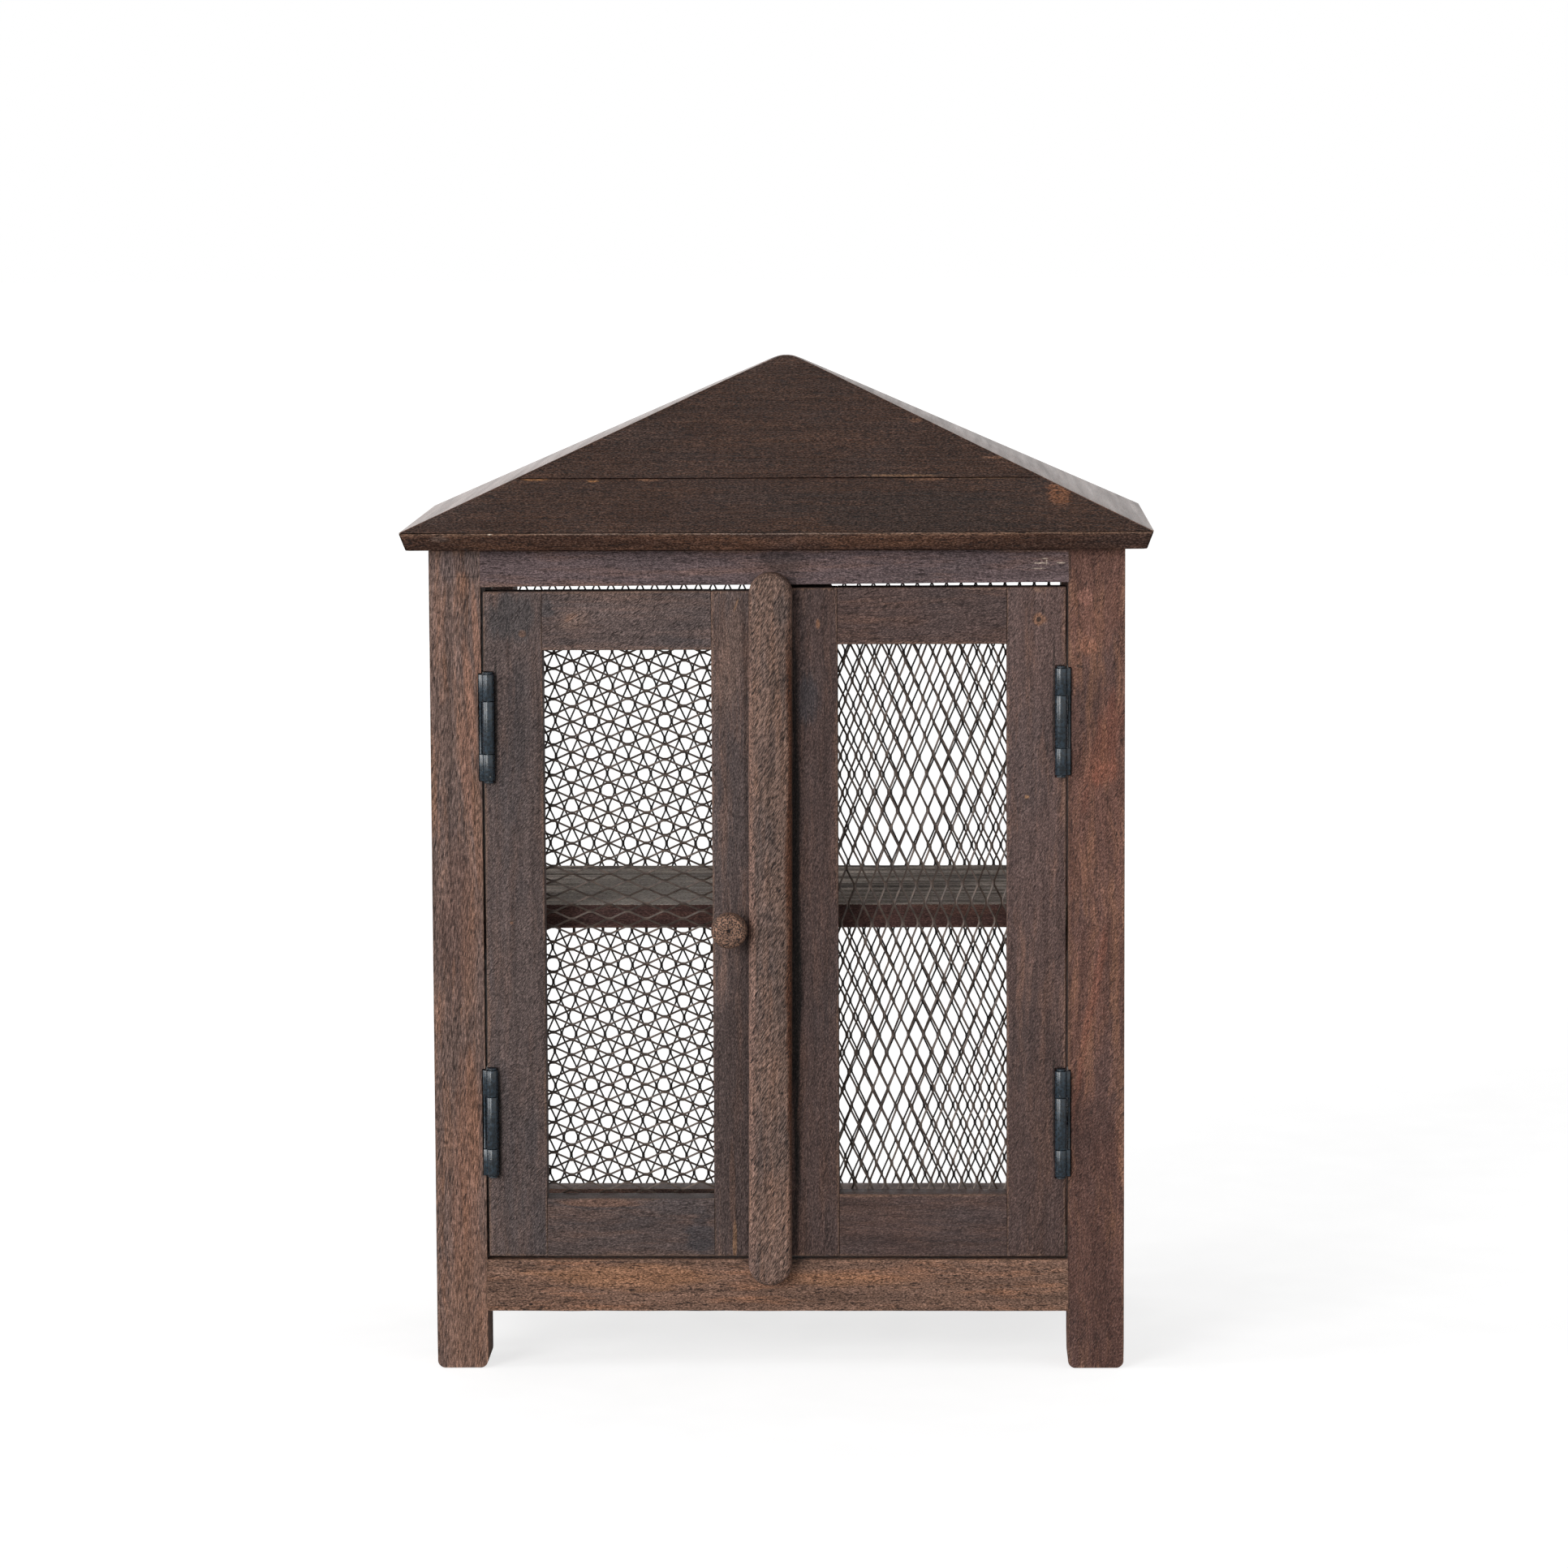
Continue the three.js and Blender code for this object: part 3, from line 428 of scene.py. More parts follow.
def stained_wood(name, look, colours, low, high, grain, seed, marks=(), through=False):
    """Open pored hardwood, hand stained and rubbed back.

    To the eye it is a dull brown ground with short flecks that catch the light, slate patches where the stain
    lay thick, and orange brown streaks and edges where it was rubbed off. Marks lie on the front face, or all
    the way through a board whose face slopes.
    """
    material, tree, own = new_material(name)
    centre, size = (low + high) / 2, high - low
    turn = GRAIN_TURNS[grain]
    settings = {"Vector": own, "Location": centre, "Rotation": turn}
    place = add(tree, "Mapping", settings, vector_type="TEXTURE")
    settings["Rotation"] = (0, turn[1] + math.radians(look.slant), turn[2])
    slanted = add(tree, "Mapping", settings, vector_type="TEXTURE")

    # The grain wanders a few millimetres over a hand's width
    sway = (0, look.wander * MM, look.wander * MM)
    drift = figure(tree, place, 60, 26, seed, 1).outputs["Color"]
    grain_place = add(tree, "VectorMath", {0: drift, 1: sway, 2: place}, operation="MULTIPLY_ADD")
    fleck_place = add(tree, "VectorMath", {0: drift, 1: sway, 2: slanted}, operation="MULTIPLY_ADD")

    # Growth streaks at least 90 mm long, rubbed streaks 6 mm wide, slate patches 55 mm long,
    # flecks 1 to 3 mm long, fibres and pores under 1 mm wide, and grit
    streaks = figure(tree, grain_place, max(90, 22 * look.streak), look.streak, seed + 3, 5, 0.6)
    rubs = figure(tree, grain_place, 55, 6, seed + 23, 4, 0.62)
    patches = figure(tree, place, 55, 24, seed + 17, 3)
    flecks = figure(tree, fleck_place, look.dash, 0.42, seed + 11, 1.5)
    fibres = figure(tree, grain_place, 11, 0.8, seed + 7, 2)
    pores = figure(tree, fleck_place, 4.4, 0.7, seed + 31, 1)
    grit = figure(tree, place, 0.6, 0.4, seed + 41, 1)

    stain = Vector(getattr(colours, look.stain)) * look.tone
    stain.w = 1.0
    colour = shade(tree, stain, streaks, NOISE_CORE, (1 - look.figure, 1 + look.figure))
    colour = coat(tree, colour, colours.slate, patches, (0.5, 0.66), look.slate)
    worn = add(tree, "Math", {0: fibres, 1: 0.22, 2: rubs}, operation="MULTIPLY_ADD")
    colour = coat(tree, colour, colours.rubbed, worn, (0.6, 0.78), look.rubbed)
    front, depth = (centre.y, 4 * size.y) if through else (low.y, size.y)
    colour = paint_marks(tree, own, colour, marks, rubs, front, depth)

    # Rubbed edges show the lighter wood within about a millimetre
    own_size = {"X": size, "Y": size.yxz, "Z": size.zyx}[grain]
    distance = edge_distance(tree, place, own_size / 2)
    ragged = add(tree, "MapRange", ramp(rubs, NOISE_SPAN, (-0.5 * MM, 1.3 * MM)))
    distance = add(tree, "Math", {0: distance, 1: ragged}, operation="SUBTRACT")
    colour = coat(tree, colour, colours.worn, distance, (0.9 * MM, 0.1 * MM), look.wear)

    # Flecks, fibres and grit darken and lighten the ground, and pores are short dark dashes
    reach = 0.8 * look.flecks
    colour = shade(tree, colour, flecks, NOISE_CORE, (1 - reach, 1 + reach / 2))
    colour = coat(tree, colour, colours.fleck, flecks, (0.48, 0.7), 0.16 * look.flecks, blend="ADD")
    colour = shade(tree, colour, fibres, NOISE_SPAN, (0.82, 1.18))
    colour = shade(tree, colour, grit, NOISE_CORE, (0.7, 1.3))
    pits = add(tree, "MapRange", ramp(pores, (0.36, 0.3), (0.0, look.flecks)))
    colour = add(tree, "Mix", {"Factor": pits, "A": colour, "B": colours.pore}, data_type="RGBA")

    # The pores are sunk, and the flecks and streaks stand up a little, the streaks with more gloss
    relief = add(tree, "Math", {0: pits, 1: -0.8, 2: flecks}, operation="MULTIPLY_ADD")
    relief = add(tree, "Math", {0: streaks, 1: 1.5, 2: relief}, operation="MULTIPLY_ADD")
    rough = add(tree, "MapRange", ramp(streaks, NOISE_SPAN, (look.rough + 0.08, look.rough - 0.06)))
    surface = {"Base Color": colour, "Roughness": rough, "Specular IOR Level": look.gloss}
    return finish_surface(material, surface, relief, strength=0.85, depth=0.5 * MM)


def lacquered_steel(colours):
    """Steel under thin black lacquer: a blue grey sheen painted into its colour, and chips that show bare
    metal.
    """
    material, tree, own = new_material("Butt hinge steel, black lacquer")
    specks = figure(tree, own, 1.2, 1.2, 4.0, 3)
    chips = figure(tree, own, 2.2, 1.6, 9.0, 3)
    # The blue grey mottle in the colour is painted sheen
    colour = coat(tree, colours.lacquer, linear("#364b5b"), specks, (0.4, 0.75), 0.5)
    bare = add(tree, "MapRange", ramp(chips, (0.71, 0.76), (0.0, 1.0)))
    colour = add(tree, "Mix", {"Factor": bare, "A": colour, "B": linear("#8e8c88")}, data_type="RGBA")
    rough = add(tree, "MapRange", ramp(specks, NOISE_SPAN, (0.22, 0.36)))
    surface = {"Base Color": colour, "Metallic": bare, "Roughness": rough}
    return finish_surface(material, surface, specks, strength=0.3, depth=0.12 * MM)


def mesh_steel(name, base, worn):
    """Mild steel, slit, stretched and oiled: dark brown grey, a little lighter where it was handled."""
    material, tree, own = new_material(name)
    specks = figure(tree, own, 2.5, 2.5, 2.0, 3)
    colour = coat(tree, base, worn, specks, (0.35, 0.7), 1.0)
    rough = add(tree, "MapRange", ramp(specks, NOISE_SPAN, (0.4, 0.55)))
    surface = {"Base Color": colour, "Metallic": 0.35, "Roughness": rough}
    return finish_surface(material, surface, specks, strength=0.2, depth=0.1 * MM)


def deselect_all():
    for obj in list(bpy.context.selected_objects):
        obj.select_set(False)


def make_active(obj):
    deselect_all()
    obj.select_set(True)
    bpy.context.view_layer.objects.active = obj


def start_edit(obj):
    make_active(obj)
    bpy.ops.object.mode_set(mode="EDIT")
    bpy.ops.mesh.select_mode(type="EDGE")
    bpy.ops.mesh.select_all(action="SELECT")


def end_edit():
    bpy.ops.object.mode_set(mode="OBJECT")


def select_parts(obj, kind, wanted):
    """In edit mode, selects the verts, edges or faces for which wanted is true."""
    bpy.ops.mesh.select_mode(type={"verts": "VERT", "edges": "EDGE", "faces": "FACE"}[kind])
    bpy.ops.mesh.select_all(action="DESELECT")
    mesh = bmesh.from_edit_mesh(obj.data)
    for part in getattr(mesh, kind):
        if wanted(part):
            part.select_set(True)
    mesh.select_flush_mode()
    bmesh.update_edit_mesh(obj.data)


def start_block(name, size):
    """A block at the origin, in edit mode."""
    bpy.ops.mesh.primitive_cube_add(size=1, location=(0, 0, 0))
    obj = bpy.context.object
    obj.name = name
    obj.scale = size
    settle(obj)
    start_edit(obj)
    return obj


def round_edges(obj, wanted, radius, segments, clamp=False):
    """In edit mode, rounds the edges for which wanted is true."""
    select_parts(obj, "edges", wanted)
    bpy.ops.mesh.bevel(offset=radius, segments=segments, profile=0.5, affect="EDGES", clamp_overlap=clamp)


def slice_mesh(point, normal, **settings):
    """In edit mode, cuts the whole mesh along a plane."""
    bpy.ops.mesh.select_all(action="SELECT")
    bpy.ops.mesh.bisect(plane_co=point, plane_no=normal, **settings)


def apply_modifier(obj, kind, **settings):
    """Adds a modifier, sets it up and applies it."""
    make_active(obj)
    modifier = obj.modifiers.new(kind.title(), kind)
    for name, value in settings.items():
        setattr(modifier, name, value)
    bpy.ops.object.modifier_apply(modifier=modifier.name)


def settle(obj):
    """Puts the object's place, turn and size into its mesh."""
    make_active(obj)
    bpy.ops.object.transform_apply(location=True, rotation=True, scale=True)


def smooth(obj, angle=math.radians(32)):
    make_active(obj)
    bpy.ops.object.shade_smooth_by_angle(angle=angle)


def copy_at(model, matrix):
    """A copy of a small part with its own mesh, set in its place."""
    copy = model.copy()
    copy.data = model.data.copy()
    bpy.context.scene.collection.objects.link(copy)
    copy.matrix_world = matrix
    settle(copy)
    return copy


def join(objects, name):
    """Joins finished copies into one object."""
    deselect_all()
    for obj in objects:
        obj.select_set(True)
    bpy.context.view_layer.objects.active = objects[0]
    bpy.ops.object.join()
    objects[0].name = name
    return objects[0]


def finish_piece(obj, body, slot, material, *nodes):
    """Gives a finished piece its material and body and hides the CAD nodes it stands for. Its slot is not
    used.
    """
    obj.data.materials.clear()
    obj.data.materials.append(material)
    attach(obj, body)
    if nodes:
        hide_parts(*nodes)
    return obj


def copy_node(node, name):
    """A merged copy of a CAD node's mesh, its flat faces whole again, left in edit mode."""
    obj = bpy.data.objects.new(name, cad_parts[node].data.copy())
    bpy.context.scene.collection.objects.link(obj)
    make_active(obj)
    bpy.ops.mesh.customdata_custom_splitnormals_clear()
    start_edit(obj)
    bpy.ops.mesh.remove_doubles(threshold=MERGE)
    bpy.ops.mesh.dissolve_limited(angle_limit=FLAT_ANGLE)
    return obj


def on_outer_edge(edge, low, high):
    """Whether an edge runs along two sides of the box at once."""
    first, second = (vertex.co for vertex in edge.verts)
    planes = 0
    for axis in range(3):
        for side in (low[axis], high[axis]):
            planes += abs(first[axis] - side) < TOUCH and abs(second[axis] - side) < TOUCH
    return planes >= 2


def is_sharp(edge, angle=math.radians(20)):
    return edge.is_manifold and edge.calc_face_angle(0) > angle


def worn_texture():
    """Soft clouds 14 mm across that make a sawn edge uneven."""
    texture = bpy.data.textures.get("Hand worn") or bpy.data.textures.new("Hand worn", "CLOUDS")
    texture.noise_scale = 14 * MM
    texture.noise_depth = 2
    return texture


def wear_down(obj, strength):
    """Makes a surface uneven. It only takes wood off, so the piece stays inside its CAD solid."""
    apply_modifier(obj, "DISPLACE", texture=worn_texture(), texture_coords="GLOBAL", strength=strength,
                   mid_level=1.1)


def cut_loops(low, high, axis, spacing):
    """Cuts the mesh across at even steps, so that its long edges can wander."""
    count = int((high[axis] - low[axis]) / spacing)
    normal = [0.0, 0.0, 0.0]
    normal[axis] = 1.0
    for step in range(1, count):
        point = list(low)
        point[axis] = low[axis] + (high[axis] - low[axis]) * step / count
        slice_mesh(point, normal)


def close_joints(obj, axis, centre, reach):
    """Moves both ends of a rail out, so that its shoulders close on the posts or stiles."""
    for sign in (-1, 1):
        select_parts(obj, "verts", lambda vertex: sign * (vertex.co[axis] - centre[axis]) > 0)
        step = [0.0, 0.0, 0.0]
        step[axis] = sign * reach
        bpy.ops.transform.translate(value=step)


def make_board(board, sizes, colours, seed):
    """One worn board from its CAD node, with rounded and slightly uneven edges and its own grain."""
    low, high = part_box(board.node)
    axis = AXES.index(board.grain)
    obj = copy_node(board.node, board.node + "_timber")
    mitred = board.node.endswith(("roof_board", "eave_board"))
    wanted = is_sharp if mitred else lambda edge: on_outer_edge(edge, low, high)
    round_edges(obj, wanted, board.rounding * sizes.edge_rounding, segments=3, clamp=True)
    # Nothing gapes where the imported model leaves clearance: at a rail's ends and under the roof
    if board.node.endswith("_rail"):
        close_joints(obj, axis, (low + high) / 2, CAD_CLEARANCE + sizes.edge_wander * board.uneven)
    if board.node.endswith("roof_board"):
        bpy.ops.mesh.select_all(action="SELECT")
        bpy.ops.transform.translate(value=(0, 0, TOUCH - CAD_CLEARANCE))
    cut_loops(low, high, axis, sizes.loop_spacing)
    end_edit()
    if board.uneven:
        wear_down(obj, board.uneven * sizes.edge_wander)
    smooth(obj)
    name = f"Stained hardwood, {board.node.replace('_', ' ')}"
    through = board.node.endswith("roof_board")
    marks = MARKS.get(board.node, ())
    material = stained_wood(name, LOOKS[board.look], colours, low, high, board.grain, seed, marks, through)
    return finish_piece(obj, board.body, board.slot, material, board.node)


def stain_shelf_edge(obj, colours):
    """The shelf's front edge took the stain darker than its top."""
    low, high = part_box("shelf")
    material = stained_wood("Stained hardwood, shelf edge", LOOKS["shelf_edge"], colours, low, high, "X", 97)
    obj.data.materials.append(material)
    start_edit(obj)
    edge_depth = 1 * MM

    def on_front_edge(face):
        return face.calc_center_median().y < low.y + edge_depth and face.normal.z < 0.6

    select_parts(obj, "faces", on_front_edge)
    obj.active_material_index = 1
    bpy.ops.object.material_slot_assign()
    end_edit()


class NetPlan(NamedTuple):
    """A panel of expanded steel that stands for a CAD net.

    The diamonds' long way and short way are axes. Bond is the place of one bond near the middle, pitch is a
    diamond's length and width and strand is a strand's width, in millimetres. Turn and skew are how far the
    sheet was laid or stretched out of square, in degrees.
    """

    node: str
    body: str
    long_way: str
    short_way: str
    bond: tuple
    pitch: tuple
    turn: float
    skew: float
    strand: float


NETS = [
    NetPlan("left_door_mesh", "left_door", "X", "Z", (-72.56, 212.15), (17.804, 7.305), 0.196, 0.722, 0.94),
    NetPlan("right_door_mesh", "right_door", "Z", "X", (66.63, 214.14), (17.949, 7.366), 2.663, -1.349, 0.96),
    NetPlan("back_mesh", "cabinet", "Z", "X", (-1.96, 213.78), (17.789, 7.354), 0.621, -0.974, 0.85),
    NetPlan("left_side_mesh", "cabinet", "Z", "Y", (2.0, 210.0), (17.79, 7.35), 0.4, 0.3, 0.75),
    NetPlan("right_side_mesh", "cabinet", "Z", "Y", (1.0, 206.0), (17.79, 7.35), -0.5, 0.2, 0.75),
]


def make_strand_pair(plan, sizes):
    """Two zigzag strands over one diamond, the second one mirrored so that they meet at its bonds."""
    length, width = (side * MM for side in plan.pitch)
    rise = width / 2 - sizes.bond_spread
    flat = sizes.bond_length / 2
    curve = 0.9 * MM
    curve_rise = 0.12 * rise
    arm = length / 2 - 2 * flat - 2 * curve
    fall = [(flat, 0), (curve, -curve_rise), (arm, 2 * curve_rise - rise), (curve, -curve_rise), (flat, 0)]
    climb = [(along, -across) for along, across in fall]
    bpy.ops.mesh.primitive_plane_add(size=1, location=(0, 0, 0), rotation=(0, math.pi / 2, 0))
    obj = bpy.context.object
    obj.name = plan.node + "_expanded_steel"
    obj.scale = (sizes.strand_thickness, plan.strand * MM, 1)
    settle(obj)
    start_edit(obj)
    bpy.ops.transform.rotate(value=sizes.strand_tilt, orient_axis="X", center_override=(0, 0, 0))
    bpy.ops.transform.translate(value=(0, rise / 2, 0))
    bpy.ops.mesh.select_mode(type="FACE")
    for along, across in fall + climb:
        bpy.ops.mesh.extrude_region_move(TRANSFORM_OT_translate={"value": (along, across, 0)})

    def at_an_end(face):
        return min(abs(face.calc_center_median().x - end) for end in (0, length)) < TOUCH

    select_parts(obj, "faces", at_an_end)
    bpy.ops.mesh.delete(type="ONLY_FACE")
    bpy.ops.mesh.select_all(action="SELECT")
    bpy.ops.mesh.duplicate()
    bpy.ops.transform.resize(value=(1, -1, 1), center_override=(0, 0, 0))
    bpy.ops.transform.translate(value=(0, width / 2, 0))
    bpy.ops.mesh.select_all(action="SELECT")
    bpy.ops.mesh.remove_doubles(threshold=MERGE)
    bpy.ops.mesh.normals_make_consistent(inside=False)
    end_edit()
    return obj


def make_net(plan, sizes, material):
    """A panel of expanded steel, laid as its plan says and trimmed to its CAD net."""
    low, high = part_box(plan.node)
    middle = (low + high) / 2
    length, width = (side * MM for side in plan.pitch)
    long_axis, short_axis = AXES.index(plan.long_way), AXES.index(plan.short_way)
    flat_axis, up_axis = sorted((long_axis, short_axis))
    turn = math.radians(plan.turn)
    flat, up = Vector(), Vector()
    flat[flat_axis], flat[up_axis] = math.cos(turn), math.sin(turn)
    up[flat_axis], up[up_axis] = -math.sin(turn), math.cos(turn)
    along, across = (flat, up) if long_axis == flat_axis else (up, flat)
    skew = width * math.tan(math.radians(plan.skew))

    obj = make_strand_pair(plan, sizes)
    half = (high - low) / 2
    # A turned sheet needs a little more, so that its corners still reach the net's
    spare = 0.06 * max(half)
    rows = 2 * math.ceil((half[long_axis] + spare) / length) + 2
    columns = 2 * math.ceil((half[short_axis] + spare) / width) + 2
    for count, step in ((rows, (length, 0, 0)), (columns, (skew, width, 0))):
        apply_modifier(obj, "ARRAY", count=count, use_relative_offset=False, use_constant_offset=True,
                       constant_offset_displace=step, use_merge_vertices=step[1] == 0, merge_threshold=MERGE)
    start = middle.copy()
    start[flat_axis], start[up_axis] = plan.bond[0] * MM, plan.bond[1] * MM
    start -= along * (rows / 2 * length + columns / 2 * skew) + across * (columns / 2 * width + width / 4)
    facing = Matrix((along, across, along.cross(across))).transposed().to_4x4()
    obj.matrix_world = Matrix.Translation(start) @ facing
    settle(obj)
    start_edit(obj)
    for axis in (long_axis, short_axis):
        for limit, sign in ((low[axis], -1), (high[axis], 1)):
            normal = Vector()
            normal[axis] = sign
            point = middle.copy()
            point[axis] = limit
            slice_mesh(point, normal, use_fill=True, clear_outer=True)
    end_edit()
    smooth(obj, math.radians(50))
    return finish_piece(obj, plan.body, "mesh_steel", material, plan.node)


def make_staple(sizes):
    """One wire staple at the origin: a round shouldered crown along X with two legs down -Z."""
    crown, wire, leg = sizes.staple_crown, sizes.staple_wire, sizes.staple_leg
    crown_width = 1.6 * wire
    obj = start_block("staple", (crown, crown_width, wire))
    bend = crown / 2 - wire
    for sign in (-1, 1):
        slice_mesh((sign * bend, 0, 0), (1, 0, 0))
    select_parts(obj, "faces", lambda face: face.normal.z < -0.9 and abs(face.calc_center_median().x) > bend)
    bpy.ops.mesh.extrude_region_move(TRANSFORM_OT_translate={"value": (0, 0, -leg)})
    shoulder = Vector((crown / 2, wire / 2))

    def on_shoulder(edge):
        return all((Vector((abs(v.co.x), v.co.z)) - shoulder).length < TOUCH for v in edge.verts)

    round_edges(obj, on_shoulder, 0.8 * wire, segments=3)
    end_edit()
    smooth(obj, math.radians(40))
    return obj


def border_places(low, high, inset, spacing):
    """Places round the border of a rectangle, each with the axis that its side runs along."""
    places = []
    for side in range(4):
        axis = side % 2
        start, end = low[axis] + 2 * inset, high[axis] - 2 * inset
        count = max(2, round((end - start) / spacing))
        for step in range(count + 1):
            at = [0.0, 0.0]
            at[axis] = start + (end - start) * step / count
            at[1 - axis] = low[1 - axis] + inset if side < 2 else high[1 - axis] - inset
            places.append((at, axis))
    return places


def make_staples(plan, sizes, material, outward):
    """The staples that hold a net to its frame, each one turned a few degrees its own way."""
    low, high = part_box(plan.node)
    through = 3 - AXES.index(plan.long_way) - AXES.index(plan.short_way)
    plane = [axis for axis in range(3) if axis != through]
    corners = [[box[axis] for axis in plane] for box in (low, high)]
    model = make_staple(sizes)
    copies = []
    for index, (at, way) in enumerate(border_places(*corners, sizes.staple_inset, sizes.staple_spacing)):
        place, normal, crown = Vector(), Vector(), Vector()
        place[plane[0]], place[plane[1]] = at
        place[through] = (high if outward > 0 else low)[through] + outward * sizes.staple_wire / 2
        normal[through] = outward
        lean = sizes.staple_lean * math.sin(2.4 * index + at[0] / MM)
        crown[plane[way]], crown[plane[1 - way]] = math.cos(lean), math.sin(lean)
        facing = Matrix((crown, normal.cross(crown), normal)).transposed().to_4x4()
        copies.append(copy_at(model, Matrix.Translation(place) @ facing))
    bpy.data.objects.remove(model)
    return finish_piece(join(copies, plan.node + "_staples"), plan.body, "mesh_steel", material)


def make_batten(sizes, colours, seed):
    """The cover batten: a slat with full round ends, its front edges rounded over."""
    low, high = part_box("meeting_batten")
    lean, width = sizes.batten_lean, sizes.batten_width
    thickness = high.y - low.y
    length = (high.z - low.z - width) / math.cos(lean) + width
    obj = start_block("meeting_batten_timber", (width, thickness, length))
    front = -thickness / 2

    def at_a_corner(edge):
        return abs(edge.verts[0].co.y - edge.verts[1].co.y) > TOUCH

    def on_front_rim(edge):
        ends = all(abs(vertex.co.y - front) < TOUCH for vertex in edge.verts)
        return ends and any(abs(face.normal.y) < 0.5 for face in edge.link_faces)

    round_edges(obj, at_a_corner, width / 2 - TOUCH, segments=12)
    round_edges(obj, on_front_rim, sizes.batten_rounding, segments=5)
    half = Vector((width, thickness, length)) / 2
    cut_loops(-half, half, 2, 0.75 * sizes.loop_spacing)
    end_edit()
    obj.rotation_euler = (0, lean, 0)
    obj.location = (low + high) / 2
    settle(obj)
    wear_down(obj, 0.5 * sizes.edge_wander)
    smooth(obj)
    name, marks = "Worn hardwood, meeting batten", MARKS["meeting_batten"]
    material = stained_wood(name, LOOKS["batten"], colours, low, high, "Z", seed, marks)
    return finish_piece(obj, "left_door", "batten_wood", material, "meeting_batten")


# The knob's profile from its foot on the stile to the middle of its face: radii and heights in millimetres
KNOB_PROFILE = [
    (5.1, 0), (4.8, 2.2), (5.0, 4), (5.9, 5.6), (7.6, 7.2), (8.5, 9.0), (8.8, 11.2), (8.7, 13.4), (8.2, 15.2),
    (7.2, 16.3), (5.6, 16.9), (3.2, 17), (1.1, 16.9), (0.9, 16.0), (0, 15.8),
]


def end_grain(colours, centre):
    """End grain of a turned knob: a mottled reddish ground with fine dark pores and faint rings."""
    material, tree, own = new_material("Turned hardwood, end grain")
    place = add(tree, "Mapping", {"Vector": own, "Location": centre}, vector_type="TEXTURE")
    blots = figure(tree, place, 3.2, 3.2, 41.0, 3)
    pores = figure(tree, place, 0.7, 0.7, 43.0, 2)
    flat = add(tree, "VectorMath", {0: place, 1: (1, 0, 1)}, operation="MULTIPLY")
    radius = add(tree, "VectorMath", {0: flat}, operation="LENGTH")
    bent = add(tree, "Math", {0: blots, 1: 2.5 * MM, 2: radius}, operation="MULTIPLY_ADD")
    ring_width = 1.65 * MM
    rings = add(tree, "Math", {0: bent, 1: 2 * math.pi / ring_width}, operation="MULTIPLY")
    rings = add(tree, "Math", {0: rings}, operation="SINE")
    colour = shade(tree, colours.knob, rings, (-1.0, 1.0), (0.7, 1.2))
    colour = coat(tree, colour, linear("#3d2921"), blots, (0.42, 0.66), 0.6)
    pits = add(tree, "MapRange", ramp(pores, (0.56, 0.42), (0.0, 1.0)))
    colour = add(tree, "Mix", {"Factor": pits, "A": colour, "B": colours.pore}, data_type="RGBA")
    colour = coat(tree, colour, linear("#1a1210"), radius, (1.1 * MM, 0.7 * MM), 0.9)
    relief = add(tree, "Math", {0: pits, 1: -1.0, 2: blots}, operation="MULTIPLY_ADD")
    surface = {"Base Color": colour, "Roughness": 0.62, "Specular IOR Level": 0.3}
    return finish_surface(material, surface, relief, strength=0.7, depth=0.3 * MM)


def make_knob(colours):
    """The turned knob: its profile spun round its axis."""
    low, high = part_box("knob")
    centre = Vector(((low.x + high.x) / 2, high.y, (low.z + high.z) / 2))
    bpy.ops.mesh.primitive_plane_add(size=1 * MM, location=(0, 0, 0))
    obj = bpy.context.object
    obj.name = "knob_turned"
    start_edit(obj)
    bpy.ops.mesh.merge(type="CENTER")
    bpy.ops.mesh.select_mode(type="VERT")
    bpy.ops.mesh.select_all(action="SELECT")
    last = (0.0, 0.0)
    for radius, height in KNOB_PROFILE:
        step = ((radius - last[0]) * MM, -(height - last[1]) * MM, 0)
        bpy.ops.mesh.extrude_region_move(TRANSFORM_OT_translate={"value": step})
        last = (radius, height)
    bpy.ops.mesh.select_all(action="SELECT")
    bpy.ops.mesh.spin(steps=48, angle=2 * math.pi, center=(0, 0, 0), axis=(0, 1, 0))
    bpy.ops.mesh.select_all(action="SELECT")
    bpy.ops.mesh.remove_doubles(threshold=10 * MERGE)
    bpy.ops.mesh.normals_make_consistent(inside=False)
    end_edit()
    obj.location = centre
    settle(obj)
    wear_down(obj, strength=0.35 * MM)
    smooth(obj, math.radians(45))
    return finish_piece(obj, "left_door", "batten_wood", end_grain(colours, centre), "knob")


def make_hinge_leaf(node, body, material):
    """A leaf with its knuckles, its ends softened."""
    rounding = 0.22 * MM
    obj = copy_node(node, node + "_steel")
    round_edges(obj, lambda edge: is_sharp(edge, math.radians(50)), rounding, segments=2, clamp=True)
    end_edit()
    smooth(obj, math.radians(48))
    return finish_piece(obj, body, "hinge_steel", material, node)


def make_screw(sizes):
    """One slotted screw head at the origin, its face up +Z."""
    radius, half_slot = sizes.screw_radius, sizes.screw_slot / 2
    depth, slot_depth, rim_rounding = 0.9 * MM, 0.45 * MM, 0.12 * MM
    bpy.ops.mesh.primitive_cylinder_add(vertices=20, radius=radius, depth=depth, location=(0, 0, -depth / 2))
    obj = bpy.context.object
    settle(obj)
    start_edit(obj)
    for sign in (-1, 1):
        slice_mesh((0, sign * half_slot, 0), (0, 1, 0))

    def in_slot(face):
        return face.normal.z > 0.9 and abs(face.calc_center_median().y) < half_slot

    def on_rim(edge):
        return all(abs(v.co.z) < TOUCH and v.co.xy.length > 0.9 * radius for v in edge.verts)

    select_parts(obj, "faces", in_slot)
    bpy.ops.mesh.extrude_region_move(TRANSFORM_OT_translate={"value": (0, 0, -slot_depth)})
    round_edges(obj, on_rim, rim_rounding, segments=2)
    end_edit()
    smooth(obj, math.radians(35))
    return obj


